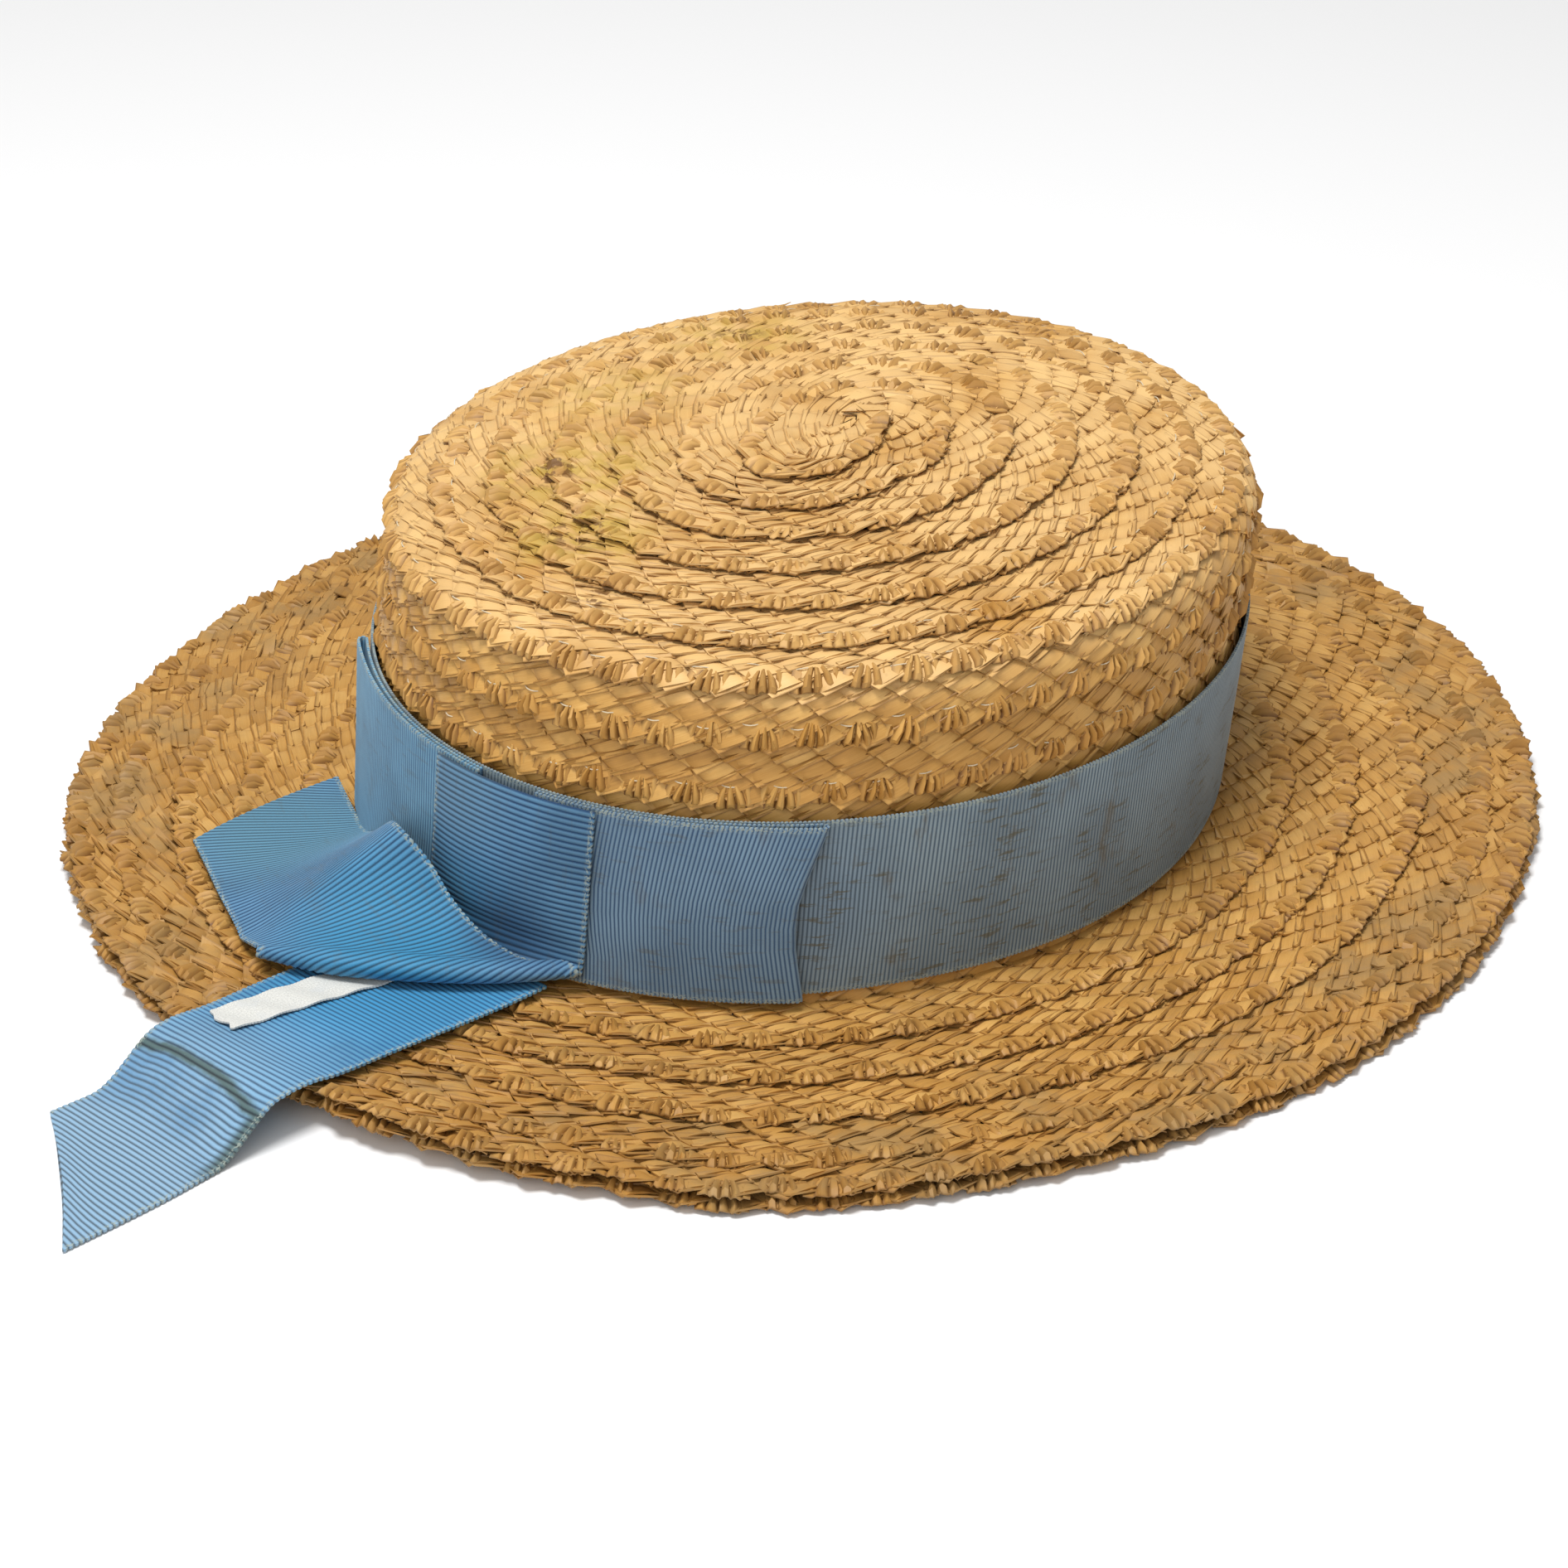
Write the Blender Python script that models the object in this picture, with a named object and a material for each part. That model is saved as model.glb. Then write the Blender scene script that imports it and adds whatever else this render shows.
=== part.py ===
"""Straw boater hat: sewn braid crown and brim, ribbon band, flat bow with two tails, sewn tape.

Metres. +Z up, the hat's long axis along Y with the bow near +Y. The pieces are laid out from
the centre of the head opening, and then moved so that the origin is under the middle of the
whole object, on the plane that it rests on.
"""

import math

import bmesh
import bpy
import numpy as np
from mathutils import Matrix

# The straw.
HEAD_REACH = 0.0844  # sideways half-width inside the crown wall
LONG_HALF = 0.0100  # half the fold that the braid starts round, along Y: every row is this much longer than wide
STRAW_WALL = 0.0022
ROW_PITCH = 0.0128  # from one row's free edge to the next
ROW_STEP = 0.0010  # a row's free edge stands this much above the row that it covers
CROWN_CORNER = 0.0715  # height where the wall's line and the tip's line meet
CORNER_ROUND = 0.0065
CORNER_BENDS = (18.0, 36.0, 58.0, 80.0)  # degrees from level where the rounded corner keeps a ring of points
DOME_RISE = 0.0075  # the tip's middle above its rim
CROWN_LEAN_X = -0.0058  # how far the crown's corner leans from its foot
CROWN_LEAN_Y = -0.0026
BRIM_REACH = 0.1500
BRIM_SHIFT_X = -0.0039  # the brim's outline stands this far off the crown's centre
BRIM_SHIFT_Y = 0.0010
BRIM_ROWS = 4  # whole rows from the crown out, before the row at the edge
EDGE_ROW_WIDTH = 0.0135
EDGE_ROW_WALL = 0.0018
GAP = 0.0003  # clearance between neighbouring pieces

# The ribbon.
RIBBON_WIDTH = 0.0380
RIBBON_THICK = 0.0008
BAND_FOOT = 0.0042
KNOT_TURN = 78.4  # degrees round the crown from +X
LOOP_RIGHT_TURN = 122.0
LOOP_LEFT_TURN = 32.5
LOOP_STAND = 0.0030  # how far a loop's folded end stands off the band at its top
LOOP_FOOT_STAND = 0.35  # and, as a share of that, at its foot
KNOT_ROLL = 0.0050  # radius where the knot's ribbon turns out on to the brim
FLAP_LIFT = 0.0270  # height of the raised fold beside the knot
FOLD_OPEN = 0.0024  # the soft fold's two layers stand this far apart

# The long tail and the tape on it.
TAIL_HEADING = 73.0
TAIL_ROOT_X = 0.0167
TAIL_ROOT_Y = 0.0925
TAIL_START = 0.0065  # its hidden start under the knot, and TAIL_START_SLANT more along its left selvedge
TAIL_START_SLANT = 0.0060
TAIL_LONG = 0.1240  # along its right selvedge, and TAIL_CUT less along its left
TAIL_CUT = 0.0250
TAIL_OVERHANG = 0.0080  # runs on level past the brim's edge before it drops
TAIL_DROP_RUN = 0.0150
TAPE_WIDTH = 0.0090
TAPE_LONG = 0.0420
TAPE_THICK = 0.0006
TAPE_HEADING = 65.0
TAPE_END_X = 0.0445
TAPE_END_Y = 0.1490

# The object's middle in plan, from the centre of the head opening.
MIDDLE_X = -0.0039
MIDDLE_Y = 0.0288

TURNS = 80  # points round each oval
STRAW = (0.62, 0.43, 0.18, 1.0)
STRAW_EDGE = (0.50, 0.36, 0.17, 1.0)
BLUE = (0.16, 0.30, 0.48, 1.0)
BRIGHT_BLUE = (0.08, 0.30, 0.58, 1.0)
TAPE_WHITE = (0.80, 0.80, 0.77, 1.0)

# How the brim's edge waves: degrees round from +X, its lift in shares of RIBBON_WIDTH, its extra reach in shares of it.
BRIM_WAVES = (
    # turn, lift, reach
    (0.0, 0.000, -0.010),
    (30.0, 0.030, 0.040),
    (58.0, 0.020, -0.010),
    (86.0, 0.090, 0.000),
    (100.0, 0.040, 0.010),
    (116.0, 0.000, 0.055),
    (134.0, 0.020, 0.010),
    (160.0, 0.000, 0.010),
    (195.0, 0.030, -0.010),
    (235.0, 0.000, 0.010),
    (275.0, 0.030, 0.000),
    (320.0, 0.000, 0.000),
)

# The short tail from the raised fold to its cut end, in shares of RIBBON_WIDTH.
# Columns: right selvedge x and y, its lift as a share of FLAP_LIFT's, left selvedge x and y.
SHORT_TAIL = (
    # right x, right y, lift, left x, left y
    (0.942, 2.608, 1.000, 1.513, 3.255),
    (1.021, 2.521, 0.955, 1.570, 3.200),
    (1.180, 2.375, 0.800, 1.660, 3.125),
    (1.421, 2.224, 0.520, 1.780, 3.025),
    (1.618, 2.039, 0.250, 1.920, 2.905),
    (1.908, 1.711, 0.060, 2.075, 2.780),
    (2.213, 1.321, 0.000, 2.224, 2.666),
)


def oval(reach, turn, centre=(0.0, 0.0)):
    """A point in plan on the oval of this sideways half-width."""
    return (
        centre[0] + reach * math.cos(turn),
        centre[1] + (LONG_HALF + reach) * math.sin(turn),
    )


def lean(height):
    """The crown's centre in plan at this height."""
    share = height / CROWN_CORNER
    return CROWN_LEAN_X * share, CROWN_LEAN_Y * share


def smooth(share):
    share = min(max(share, 0.0), 1.0)
    return share * share * (3.0 - 2.0 * share)


CROWN_REACH = HEAD_REACH + STRAW_WALL
ROW_TOP = STRAW_WALL + ROW_STEP
CROWN_FOOT = ROW_TOP + GAP
RISE_AT_EDGE = EDGE_ROW_WALL + GAP  # the brim's last row lies on the row sewn under it


def wave(turn):
    """(lift, reach) of the brim's edge at this turn, read between the table's rows."""
    degrees = math.degrees(turn) % 360.0
    rows = BRIM_WAVES + ((360.0,) + BRIM_WAVES[0][1:],)
    for (a, lift_a, reach_a), (b, lift_b, reach_b) in zip(rows, rows[1:]):
        if a <= degrees <= b:
            share = smooth((degrees - a) / (b - a))
            return (
                RIBBON_WIDTH * (lift_a + share * (lift_b - lift_a)),
                RIBBON_WIDTH * (reach_a + share * (reach_b - reach_a)),
            )


def brim_share(reach):
    return (reach - CROWN_REACH) / (BRIM_REACH - CROWN_REACH)


def brim_point(reach, turn, height):
    """A point of the brim: height is over its underside, which rises to lie on the edge row and waves with the edge."""
    out = max(brim_share(reach), 0.0)
    lift, more = wave(turn)
    rest = RISE_AT_EDGE * smooth(out * 1.25)
    x, y = oval(reach + more * out * out, turn, (BRIM_SHIFT_X * out, BRIM_SHIFT_Y * out))
    return x, y, height + rest + lift * out * out


def brim_top(x, y):
    """Height of the brim's rows over the point x, y of the plan, and the share of the brim that it lies at."""
    low, high = 0.0, 2.0 * BRIM_REACH
    for _ in range(30):
        reach = (low + high) / 2
        out = max(brim_share(reach), 0.0)
        across = x - BRIM_SHIFT_X * out
        along = y - BRIM_SHIFT_Y * out
        turn = math.atan2(along / (LONG_HALF + reach), across / reach)
        grown = reach + wave(turn)[1] * out * out
        if (across / grown) ** 2 + (along / (LONG_HALF + grown)) ** 2 > 1:
            low = reach
        else:
            high = reach
    return brim_point(reach, turn, ROW_TOP)[2], out


def crown_profile(inset):
    """(reach, height) from the tip's middle to the wall's foot, moved inwards by inset, close enough together to read between."""
    wall = CROWN_REACH - inset
    top = CROWN_CORNER - inset
    rounding = CORNER_ROUND - inset
    tilt = 2.0 * DOME_RISE / CROWN_REACH  # the dome's slope at the rim
    points = []
    for reach in np.linspace(LONG_HALF / 3, wall - rounding, 24):
        points.append((reach, top + DOME_RISE * (1 - (reach / CROWN_REACH) ** 2)))
    last_reach, last_height = points[-1]
    bulge = rounding * tilt / 2
    for angle in np.linspace(0.0, math.pi / 2, 9)[1:]:
        points.append(
            (
                last_reach + rounding * math.sin(angle),
                last_height - rounding * (1 - math.cos(angle)) - bulge * math.sin(angle),
            )
        )
    for height in np.linspace(points[-1][1], CROWN_FOOT, 20)[1:]:
        points.append((wall, height))
    return np.array(points)


def rows_along(profile, edges, proud):
    """The profile as sewn rows: each starts on it, rises to stand proud at its free edge, and steps down to the next.
    Where the profile turns, a row keeps points between its edges."""
    steps = np.hypot(*np.diff(profile, axis=0).T)
    along = np.concatenate([[0.0], np.cumsum(steps)])
    facing = np.gradient(profile, axis=0)
    normal = np.stack([-facing[:, 1], facing[:, 0]], axis=1)
    normal /= np.linalg.norm(normal, axis=1)[:, None]

    def at(distance, out):
        base = np.array([np.interp(distance, along, profile[:, k]) for k in (0, 1)])
        away = np.array([np.interp(distance, along, normal[:, k]) for k in (0, 1)])
        return tuple(base + out * away / np.linalg.norm(away))

    heading = np.unwrap(np.arctan2(facing[:, 1], facing[:, 0]))
    turned = np.abs(heading - heading[0])
    bends = np.interp(np.radians(CORNER_BENDS), turned, along)
    edges = [0.0] + [edge for edge in edges if 0.0 < edge < along[-1] - ROW_STEP]
    lip = ROW_STEP * 0.4
    points = [at(0.0, 0.0)]
    for start, edge in zip(edges, edges[1:]):
        for bend in bends:
            if start + 3 * lip < bend < edge - 3 * lip:
                points.append(at(bend, proud * (bend - start) / (edge - start)))
        points += [at(edge - lip, proud), at(edge + lip, 0.0)]
    points.append(at(along[-1], 0.0))
    return points


def material(name, colour, roughness):
    slot = bpy.data.materials.new(name)
    slot.use_nodes = True
    shader = slot.node_tree.nodes["Principled BSDF"]
    shader.inputs["Base Color"].default_value = colour
    shader.inputs["Roughness"].default_value = roughness
    return slot


def add(name, bm, colour, roughness):
    bmesh.ops.recalc_face_normals(bm, faces=bm.faces)
    mesh = bpy.data.meshes.new(name)
    bm.to_mesh(mesh)
    bm.free()
    mesh.transform(Matrix.Translation((-MIDDLE_X, -MIDDLE_Y, 0.0)))
    mesh.materials.append(material(name, colour, roughness))
    mesh.shade_smooth()
    mesh.set_sharp_from_angle(angle=math.radians(35))
    piece = bpy.data.objects.new(name, mesh)
    bpy.context.scene.collection.objects.link(piece)
    return piece


def loft(name, rings, colour, roughness, capped=False):
    """Rings of points joined one to the next: with both ends capped, or with the last ring joined to the first."""
    bm = bmesh.new()
    loops = [[bm.verts.new(point) for point in ring] for ring in rings]
    pairs = list(zip(loops, loops[1:]))
    if capped:
        bm.faces.new(loops[0])
        bm.faces.new(loops[-1])
    else:
        pairs.append((loops[-1], loops[0]))
    for first, second in pairs:
        for i in range(len(first)):
            j = (i + 1) % len(first)
            bm.faces.new((first[i], first[j], second[j], second[i]))
    return add(name, bm, colour, roughness)


def sheet(name, rows, thick, colour, roughness):
    """An open grid of points, thickened evenly to both sides."""
    bm = bmesh.new()
    lines = [[bm.verts.new(point) for point in row] for row in rows]
    for first, second in zip(lines, lines[1:]):
        for i in range(len(first) - 1):
            bm.faces.new((first[i], first[i + 1], second[i + 1], second[i]))
    piece = add(name, bm, colour, roughness)
    solid = piece.modifiers.new("thickness", "SOLIDIFY")
    solid.thickness = thick
    solid.offset = 0.0
    solid.use_even_offset = True
    solid.use_quality_normals = True
    return piece


def around(reach_of, height, centre):
    return [
        (*oval(reach_of, 2 * math.pi * i / TURNS, centre), height) for i in range(TURNS)
    ]


INSIDE_RINGS = [0, 9, 18, 20, 22, 24, 26, 34, 42, 50]  # the smooth inside keeps these of its profile's points, from the foot up


def make_crown():
    outer = crown_profile(0.0)
    length = np.hypot(*np.diff(outer, axis=0).T).sum()
    edges = np.arange(length, 0.0, -ROW_PITCH)[::-1]
    rings = []
    for reach, height in rows_along(outer, edges, ROW_STEP):
        rings.append(around(reach, height, lean(height)))
    inner = crown_profile(STRAW_WALL)[::-1]
    for reach, height in inner[INSIDE_RINGS]:
        rings.append(around(reach, height, lean(height)))
    return loft("straw_crown", rings, STRAW, 0.6, capped=True)


def brim_edges():
    """Reach of each whole row's free edge, from the crown out, and of the brim's own edge."""
    last = BRIM_REACH - EDGE_ROW_WIDTH * 0.6
    first = CROWN_REACH + ROW_PITCH * 0.2
    return list(np.linspace(first, last, BRIM_ROWS + 1)) + [BRIM_REACH]


def make_brim():
    top = [(HEAD_REACH, ROW_TOP)]
    edges = brim_edges()
    for edge in edges[1:-1]:
        top += [(edge - ROW_STEP * 0.4, ROW_TOP), (edge + ROW_STEP * 0.4, STRAW_WALL)]
    top.append((edges[-1], ROW_TOP))
    under = [(reach, 0.0) for reach in np.linspace(BRIM_REACH, HEAD_REACH, 7)]
    rings = []
    for reach, height in top + under:
        rings.append([brim_point(reach, 2 * math.pi * i / TURNS, height) for i in range(TURNS)])
    return loft("straw_brim", rings, STRAW, 0.6)


def make_edge_row():
    """The row sewn under the brim's edge: the hat rests on its lowest runs."""
    inside = BRIM_REACH - EDGE_ROW_WIDTH
    rings = []
    corners = ((inside, -EDGE_ROW_WALL), (BRIM_REACH, -EDGE_ROW_WALL), (BRIM_REACH, 0.0), (inside, 0.0))
    for reach, height in corners:
        ring = []
        for i in range(TURNS):
            x, y, z = brim_point(reach, 2 * math.pi * i / TURNS, height - GAP)
            ring.append((x, y, max(z, 0.0) if height else z))
        rings.append(ring)
    return loft("brim_edge_row", rings, STRAW_EDGE, 0.7)


BAND_INSIDE = CROWN_REACH + ROW_STEP + GAP
BAND_OUTSIDE = BAND_INSIDE + RIBBON_THICK
LAYER = RIBBON_THICK + GAP  # each further layer of ribbon stands this much further out


def make_band():
    foot, head = BAND_FOOT, BAND_FOOT + RIBBON_WIDTH
    corners = ((BAND_INSIDE, foot), (BAND_OUTSIDE, foot), (BAND_OUTSIDE, head), (BAND_INSIDE, head))
    return loft("hat_band", [around(r, z, lean(z)) for r, z in corners], BLUE, 0.75)


def on_band(turn, stand, height):
    """A point at this turn in degrees, standing this far off the band's outside, at this height."""
    x, y = oval(BAND_OUTSIDE + stand, math.radians(turn), lean(height))
    return x, y, height


def make_loop(name, start, end):
    """A flat loop: its back layer runs out along the band, folds at the end and comes back over itself."""
    back = LAYER - RIBBON_THICK / 2
    front = back + LAYER
    way = 1 if end > start else -1
    fold = math.degrees(LOOP_STAND / BAND_OUTSIDE) * way * 0.5
    steps = 9
    path = []
    for i in range(steps + 1):
        share = i / steps
        path.append((start + (end - fold - start) * share, back, LOOP_STAND * 0.25 * share**3))
    path.append((end, (back + front) / 2, LOOP_STAND * 0.6))
    for i in range(steps + 1):
        share = 1 - i / steps
        path.append((start + (end - fold - start) * share, front, LOOP_STAND * share**3))
    rows = []
    for turn, stand, loose in path:
        row = []
        for k in range(5):
            opened = loose * (LOOP_FOOT_STAND + (1 - LOOP_FOOT_STAND) * k / 4)
            row.append(on_band(turn, stand + opened, BAND_FOOT + RIBBON_WIDTH * k / 4))
        rows.append(row)
    return sheet(name, rows, RIBBON_THICK, BLUE, 0.75)


def laid(x, y, over_tail):
    """The point of a ribbon's middle plane that lies over this plan point, on the brim or on the long tail and its tape."""
    under = LAYER + TAPE_THICK + GAP if over_tail else 0.0
    return x, y, brim_top(x, y)[0] + GAP + RIBBON_THICK / 2 + under


def mix(a, b, share):
    return tuple(p + (q - p) * share for p, q in zip(a, b))


def make_knot_ribbon():
    """The knot's ribbon: down the crown, out on the brim, back over itself in a slanting soft fold, up over a raised fold
    beside the knot and down flat on the brim as the short tail."""
    width = RIBBON_WIDTH
    half_turn = math.degrees(width / 2 / (BAND_OUTSIDE + LONG_HALF * 0.9))
    stand = 2.5 * LAYER + RIBBON_THICK / 2
    right, left = KNOT_TURN + half_turn, KNOT_TURN - half_turn
    fold_right = laid(-0.095 * width, 2.70 * width, True)
    fold_left = laid(1.303 * width, 3.280 * width, True)
    tail_rows = []
    for rx, ry, rise, lx, ly in SHORT_TAIL:
        flat = laid(rx * width, ry * width, False)
        lift = rise * (FLAP_LIFT - flat[2])
        tail_rows.append(((flat[0], flat[1], flat[2] + lift), laid(lx * width, ly * width, False)))
    ridge_right, ridge_left = tail_rows[0]
    columns = 8
    rows = []
    for i in range(5):
        height = mix((BAND_FOOT + width,), (BAND_FOOT + KNOT_ROLL * 1.3,), i / 4)[0]
        rows.append([on_band(right + (left - right) * k / columns, stand, height) for k in range(columns + 1)])
    foot = []
    for k in range(columns + 1):
        turn = right + (left - right) * k / columns
        x, y, _ = on_band(turn, stand, BAND_FOOT)
        foot.append(laid(x, y, True))
    folds = [mix(fold_right, fold_left, k / columns) for k in range(columns + 1)]
    for bend in (0.35, 0.7, 1.0):
        row = []
        for k in range(columns + 1):
            out = mix(foot[k], folds[k], min(0.6, KNOT_ROLL / math.dist(foot[k], folds[k])))
            first = mix(rows[4][k], foot[k], bend)
            row.append(mix(first, mix(foot[k], out, bend), bend))
        rows.append(row)
    start = rows[-1]
    for share in (0.33, 0.66, 1.0):
        row = []
        for k in range(columns + 1):
            x, y, z = mix(start[k], folds[k], share)
            row.append((x, y, max(z, laid(x, y, True)[2])))
        rows.append(row)
    folds = rows[-1]
    outward = np.array([fold_left[1] - fold_right[1], fold_right[0] - fold_left[0]])
    outward = -outward / np.linalg.norm(outward) * FOLD_OPEN / 2
    middle = [(x + outward[0], y + outward[1], z + FOLD_OPEN / 2) for x, y, z in folds]
    upper = [(x, y, z + FOLD_OPEN) for x, y, z in folds]
    rows += [middle, upper]
    ridge = [mix(ridge_right, ridge_left, k / columns) for k in range(columns + 1)]
    ridge[-1] = (ridge[-1][0], ridge[-1][1], ridge[-1][2] + FOLD_OPEN * 0.3)
    for share in (0.25, 0.5, 0.75):
        rows.append([mix(upper[k], ridge[k], share) for k in range(columns + 1)])
    rows.append(ridge)
    for right_end, left_end in tail_rows[1:]:
        row = []
        for k in range(columns + 1):
            x, y, z = mix(right_end, left_end, k / columns)
            row.append((x, y, max(z, laid(x, y, False)[2])))
        rows.append(row)
    return sheet("knot_ribbon", rows, RIBBON_THICK, BRIGHT_BLUE, 0.7)


def tail_point(along, across):
    """A point of the long tail: on the brim, then level past its edge, then down to lie on the floor."""
    heading = math.radians(TAIL_HEADING)
    ahead = np.array([math.cos(heading), math.sin(heading)])
    side = np.array([ahead[1], -ahead[0]])
    x, y = np.array([TAIL_ROOT_X, TAIL_ROOT_Y]) + along * ahead + across * side
    low, high = 0.0, TAIL_LONG
    for _ in range(30):
        edge = (low + high) / 2
        point = np.array([TAIL_ROOT_X, TAIL_ROOT_Y]) + edge * ahead + across * side
        if brim_top(*point)[1] < 1.0:
            low = edge
        else:
            high = edge
    point = np.array([TAIL_ROOT_X, TAIL_ROOT_Y]) + min(along, edge) * ahead + across * side
    level = brim_top(*point)[0] + GAP + RIBBON_THICK / 2
    floor = GAP + RIBBON_THICK / 2
    fall = smooth((along - edge - TAIL_OVERHANG) / TAIL_DROP_RUN)
    return x, y, level + (floor - level) * fall


def make_long_tail():
    columns, steps = 8, 24
    rows = []
    for i in range(steps + 1):
        row = []
        for k in range(columns + 1):
            side = k / columns
            start = TAIL_START + TAIL_START_SLANT * side
            end = TAIL_LONG - TAIL_CUT * side
            row.append(tail_point(start + (end - start) * i / steps, (side - 0.5) * RIBBON_WIDTH))
        rows.append(row)
    return sheet("long_tail", rows, RIBBON_THICK, BRIGHT_BLUE, 0.7)


def make_tape():
    heading = math.radians(TAPE_HEADING)
    ahead = np.array([math.cos(heading), math.sin(heading)])
    side = np.array([ahead[1], -ahead[0]])
    tail = math.radians(TAIL_HEADING)
    tail_ahead = np.array([math.cos(tail), math.sin(tail)])
    tail_side = np.array([tail_ahead[1], -tail_ahead[0]])
    rows = []
    for i in range(9):
        row = []
        for k in range(3):
            plan = np.array([TAPE_END_X, TAPE_END_Y]) - ahead * TAPE_LONG * i / 8 + side * TAPE_WIDTH * (k / 2 - 0.5)
            local = plan - np.array([TAIL_ROOT_X, TAIL_ROOT_Y])
            x, y, z = tail_point(local @ tail_ahead, local @ tail_side)
            row.append((x, y, z + RIBBON_THICK / 2 + GAP + TAPE_THICK / 2))
        rows.append(row)
    return sheet("name_tape", rows, TAPE_THICK, TAPE_WHITE, 0.85)


def main():
    for old in list(bpy.data.objects):
        bpy.data.objects.remove(old)
    make_crown()
    make_brim()
    make_edge_row()
    make_band()
    middle = math.degrees(GAP / BAND_OUTSIDE)
    make_loop("bow_loop_right", KNOT_TURN + middle, LOOP_RIGHT_TURN)
    make_loop("bow_loop_left", KNOT_TURN - middle, LOOP_LEFT_TURN)
    make_knot_ribbon()
    make_long_tail()
    make_tape()


main()
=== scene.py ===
# %% [markdown]
# # A straw boater hat
# A braid of flat straw is sewn in a spiral from the middle of the tip outwards, each row lapping
# over the next one. A ribbed ribbon with a flat bow goes round it. The packed solids fix where
# every piece lies, and this lesson makes the surfaces that are seen.

# %% Load the frame
import math

import bmesh
import bpy
import numpy as np
from mathutils import Matrix, Vector


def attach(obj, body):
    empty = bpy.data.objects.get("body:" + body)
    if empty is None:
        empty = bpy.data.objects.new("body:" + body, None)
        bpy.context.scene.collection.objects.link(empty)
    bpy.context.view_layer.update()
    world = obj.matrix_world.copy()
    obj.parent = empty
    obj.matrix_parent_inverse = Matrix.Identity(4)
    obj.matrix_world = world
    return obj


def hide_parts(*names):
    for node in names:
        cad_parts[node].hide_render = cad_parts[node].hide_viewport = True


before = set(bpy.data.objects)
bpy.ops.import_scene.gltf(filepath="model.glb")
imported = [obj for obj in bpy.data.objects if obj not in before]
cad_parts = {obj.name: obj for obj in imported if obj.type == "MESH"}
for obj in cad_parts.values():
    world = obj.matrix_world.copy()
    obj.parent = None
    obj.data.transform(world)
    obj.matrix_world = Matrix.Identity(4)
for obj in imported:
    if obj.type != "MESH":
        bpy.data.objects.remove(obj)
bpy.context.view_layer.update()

print("frame nodes:", ", ".join(sorted(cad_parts)))

# %% [markdown]
# ## The hat's form
# The pieces are laid out from the middle of the head opening and moved by MIDDLE at the end, as the
# solids are. Every row is an oval with the same difference between its two half-widths, because
# the braid starts round a straight fold and keeps its pitch.

# %% Sizes shared with the solids
MM = 0.001
LONG_HALF = 10.0 * MM  # half the straight fold that the spiral starts round
HEAD_REACH = 84.4 * MM
STRAW_WALL = 2.2 * MM
CROWN_REACH = HEAD_REACH + STRAW_WALL
CROWN_CORNER = 71.5 * MM
CORNER_ROUND = 6.5 * MM
CROWN_FOOT = 3.5 * MM
PAST_FOOT = 4 * MM  # how far the wall's line goes on below the foot
DOME_RISE = 7.5 * MM
CROWN_LEAN = Vector((-5.8, -2.6)) * MM
BRIM_REACH = 150.0 * MM
BRIM_SHIFT = Vector((-3.9, 1.0)) * MM
EDGE_ROW_WALL = 1.8 * MM
GAP = 0.3 * MM
MIDDLE = Vector((-3.9, 28.8, 0.0)) * MM
RIBBON_WIDTH = 38.0 * MM
BAND_FOOT = 4.2 * MM

BRIM_WAVES = (
    # turn in degrees, lift and extra reach of the brim's edge in shares of RIBBON_WIDTH
    (0, 0.000, -0.010), (30, 0.030, 0.040), (58, 0.020, -0.010), (86, 0.090, 0.000),
    (100, 0.040, 0.010), (116, 0.000, 0.055), (134, 0.020, 0.010), (160, 0.000, 0.010),
    (195, 0.030, -0.010), (235, 0.000, 0.010), (275, 0.030, 0.000), (320, 0.000, 0.000),
    (360, 0.000, -0.010),
)


def smooth(share):
    share = np.clip(share, 0.0, 1.0)
    return share * share * (3.0 - 2.0 * share)


def oval(reach, turn, centre_x=0.0, centre_y=0.0):
    return centre_x + reach * np.cos(turn), centre_y + (LONG_HALF + reach) * np.sin(turn)


def wave(turn):
    """(lift, extra reach) of the brim's edge at these turns, in metres."""
    turns, lifts, reaches = np.array(BRIM_WAVES).T
    degrees = np.degrees(turn) % 360.0
    row = np.clip(np.searchsorted(turns, degrees, side="right") - 1, 0, len(turns) - 2)
    share = smooth((degrees - turns[row]) / (turns[row + 1] - turns[row]))
    lift = lifts[row] + share * (lifts[row + 1] - lifts[row])
    reach = reaches[row] + share * (reaches[row + 1] - reaches[row])
    return lift * RIBBON_WIDTH, reach * RIBBON_WIDTH


def crown_line():
    """The crown's outer profile from the tip's middle to the wall's foot: the distance along it,
    its reach, its height and the way it faces."""
    tilt = 2 * DOME_RISE / CROWN_REACH
    flat = np.linspace(0.0, CROWN_REACH - CORNER_ROUND, 60)
    bend = np.linspace(0.0, math.pi / 2, 24)[1:]
    rim = CROWN_CORNER + DOME_RISE * (1 - (flat[-1] / CROWN_REACH) ** 2)
    bulge = CORNER_ROUND * tilt / 2
    corner = rim - CORNER_ROUND * (1 - np.cos(bend)) - bulge * np.sin(bend)
    wall = np.linspace(corner[-1], CROWN_FOOT - PAST_FOOT, 30)[1:]
    corner_reach = flat[-1] + CORNER_ROUND * np.sin(bend)
    dome = CROWN_CORNER + DOME_RISE * (1 - (flat / CROWN_REACH) ** 2)
    reach = np.concatenate([flat, corner_reach, np.full(len(wall), CROWN_REACH)])
    height = np.concatenate([dome, corner, wall])
    along = np.concatenate([[0.0], np.cumsum(np.hypot(np.diff(reach), np.diff(height)))])
    return along, reach, height, np.arctan2(np.gradient(reach), -np.gradient(height))


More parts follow.
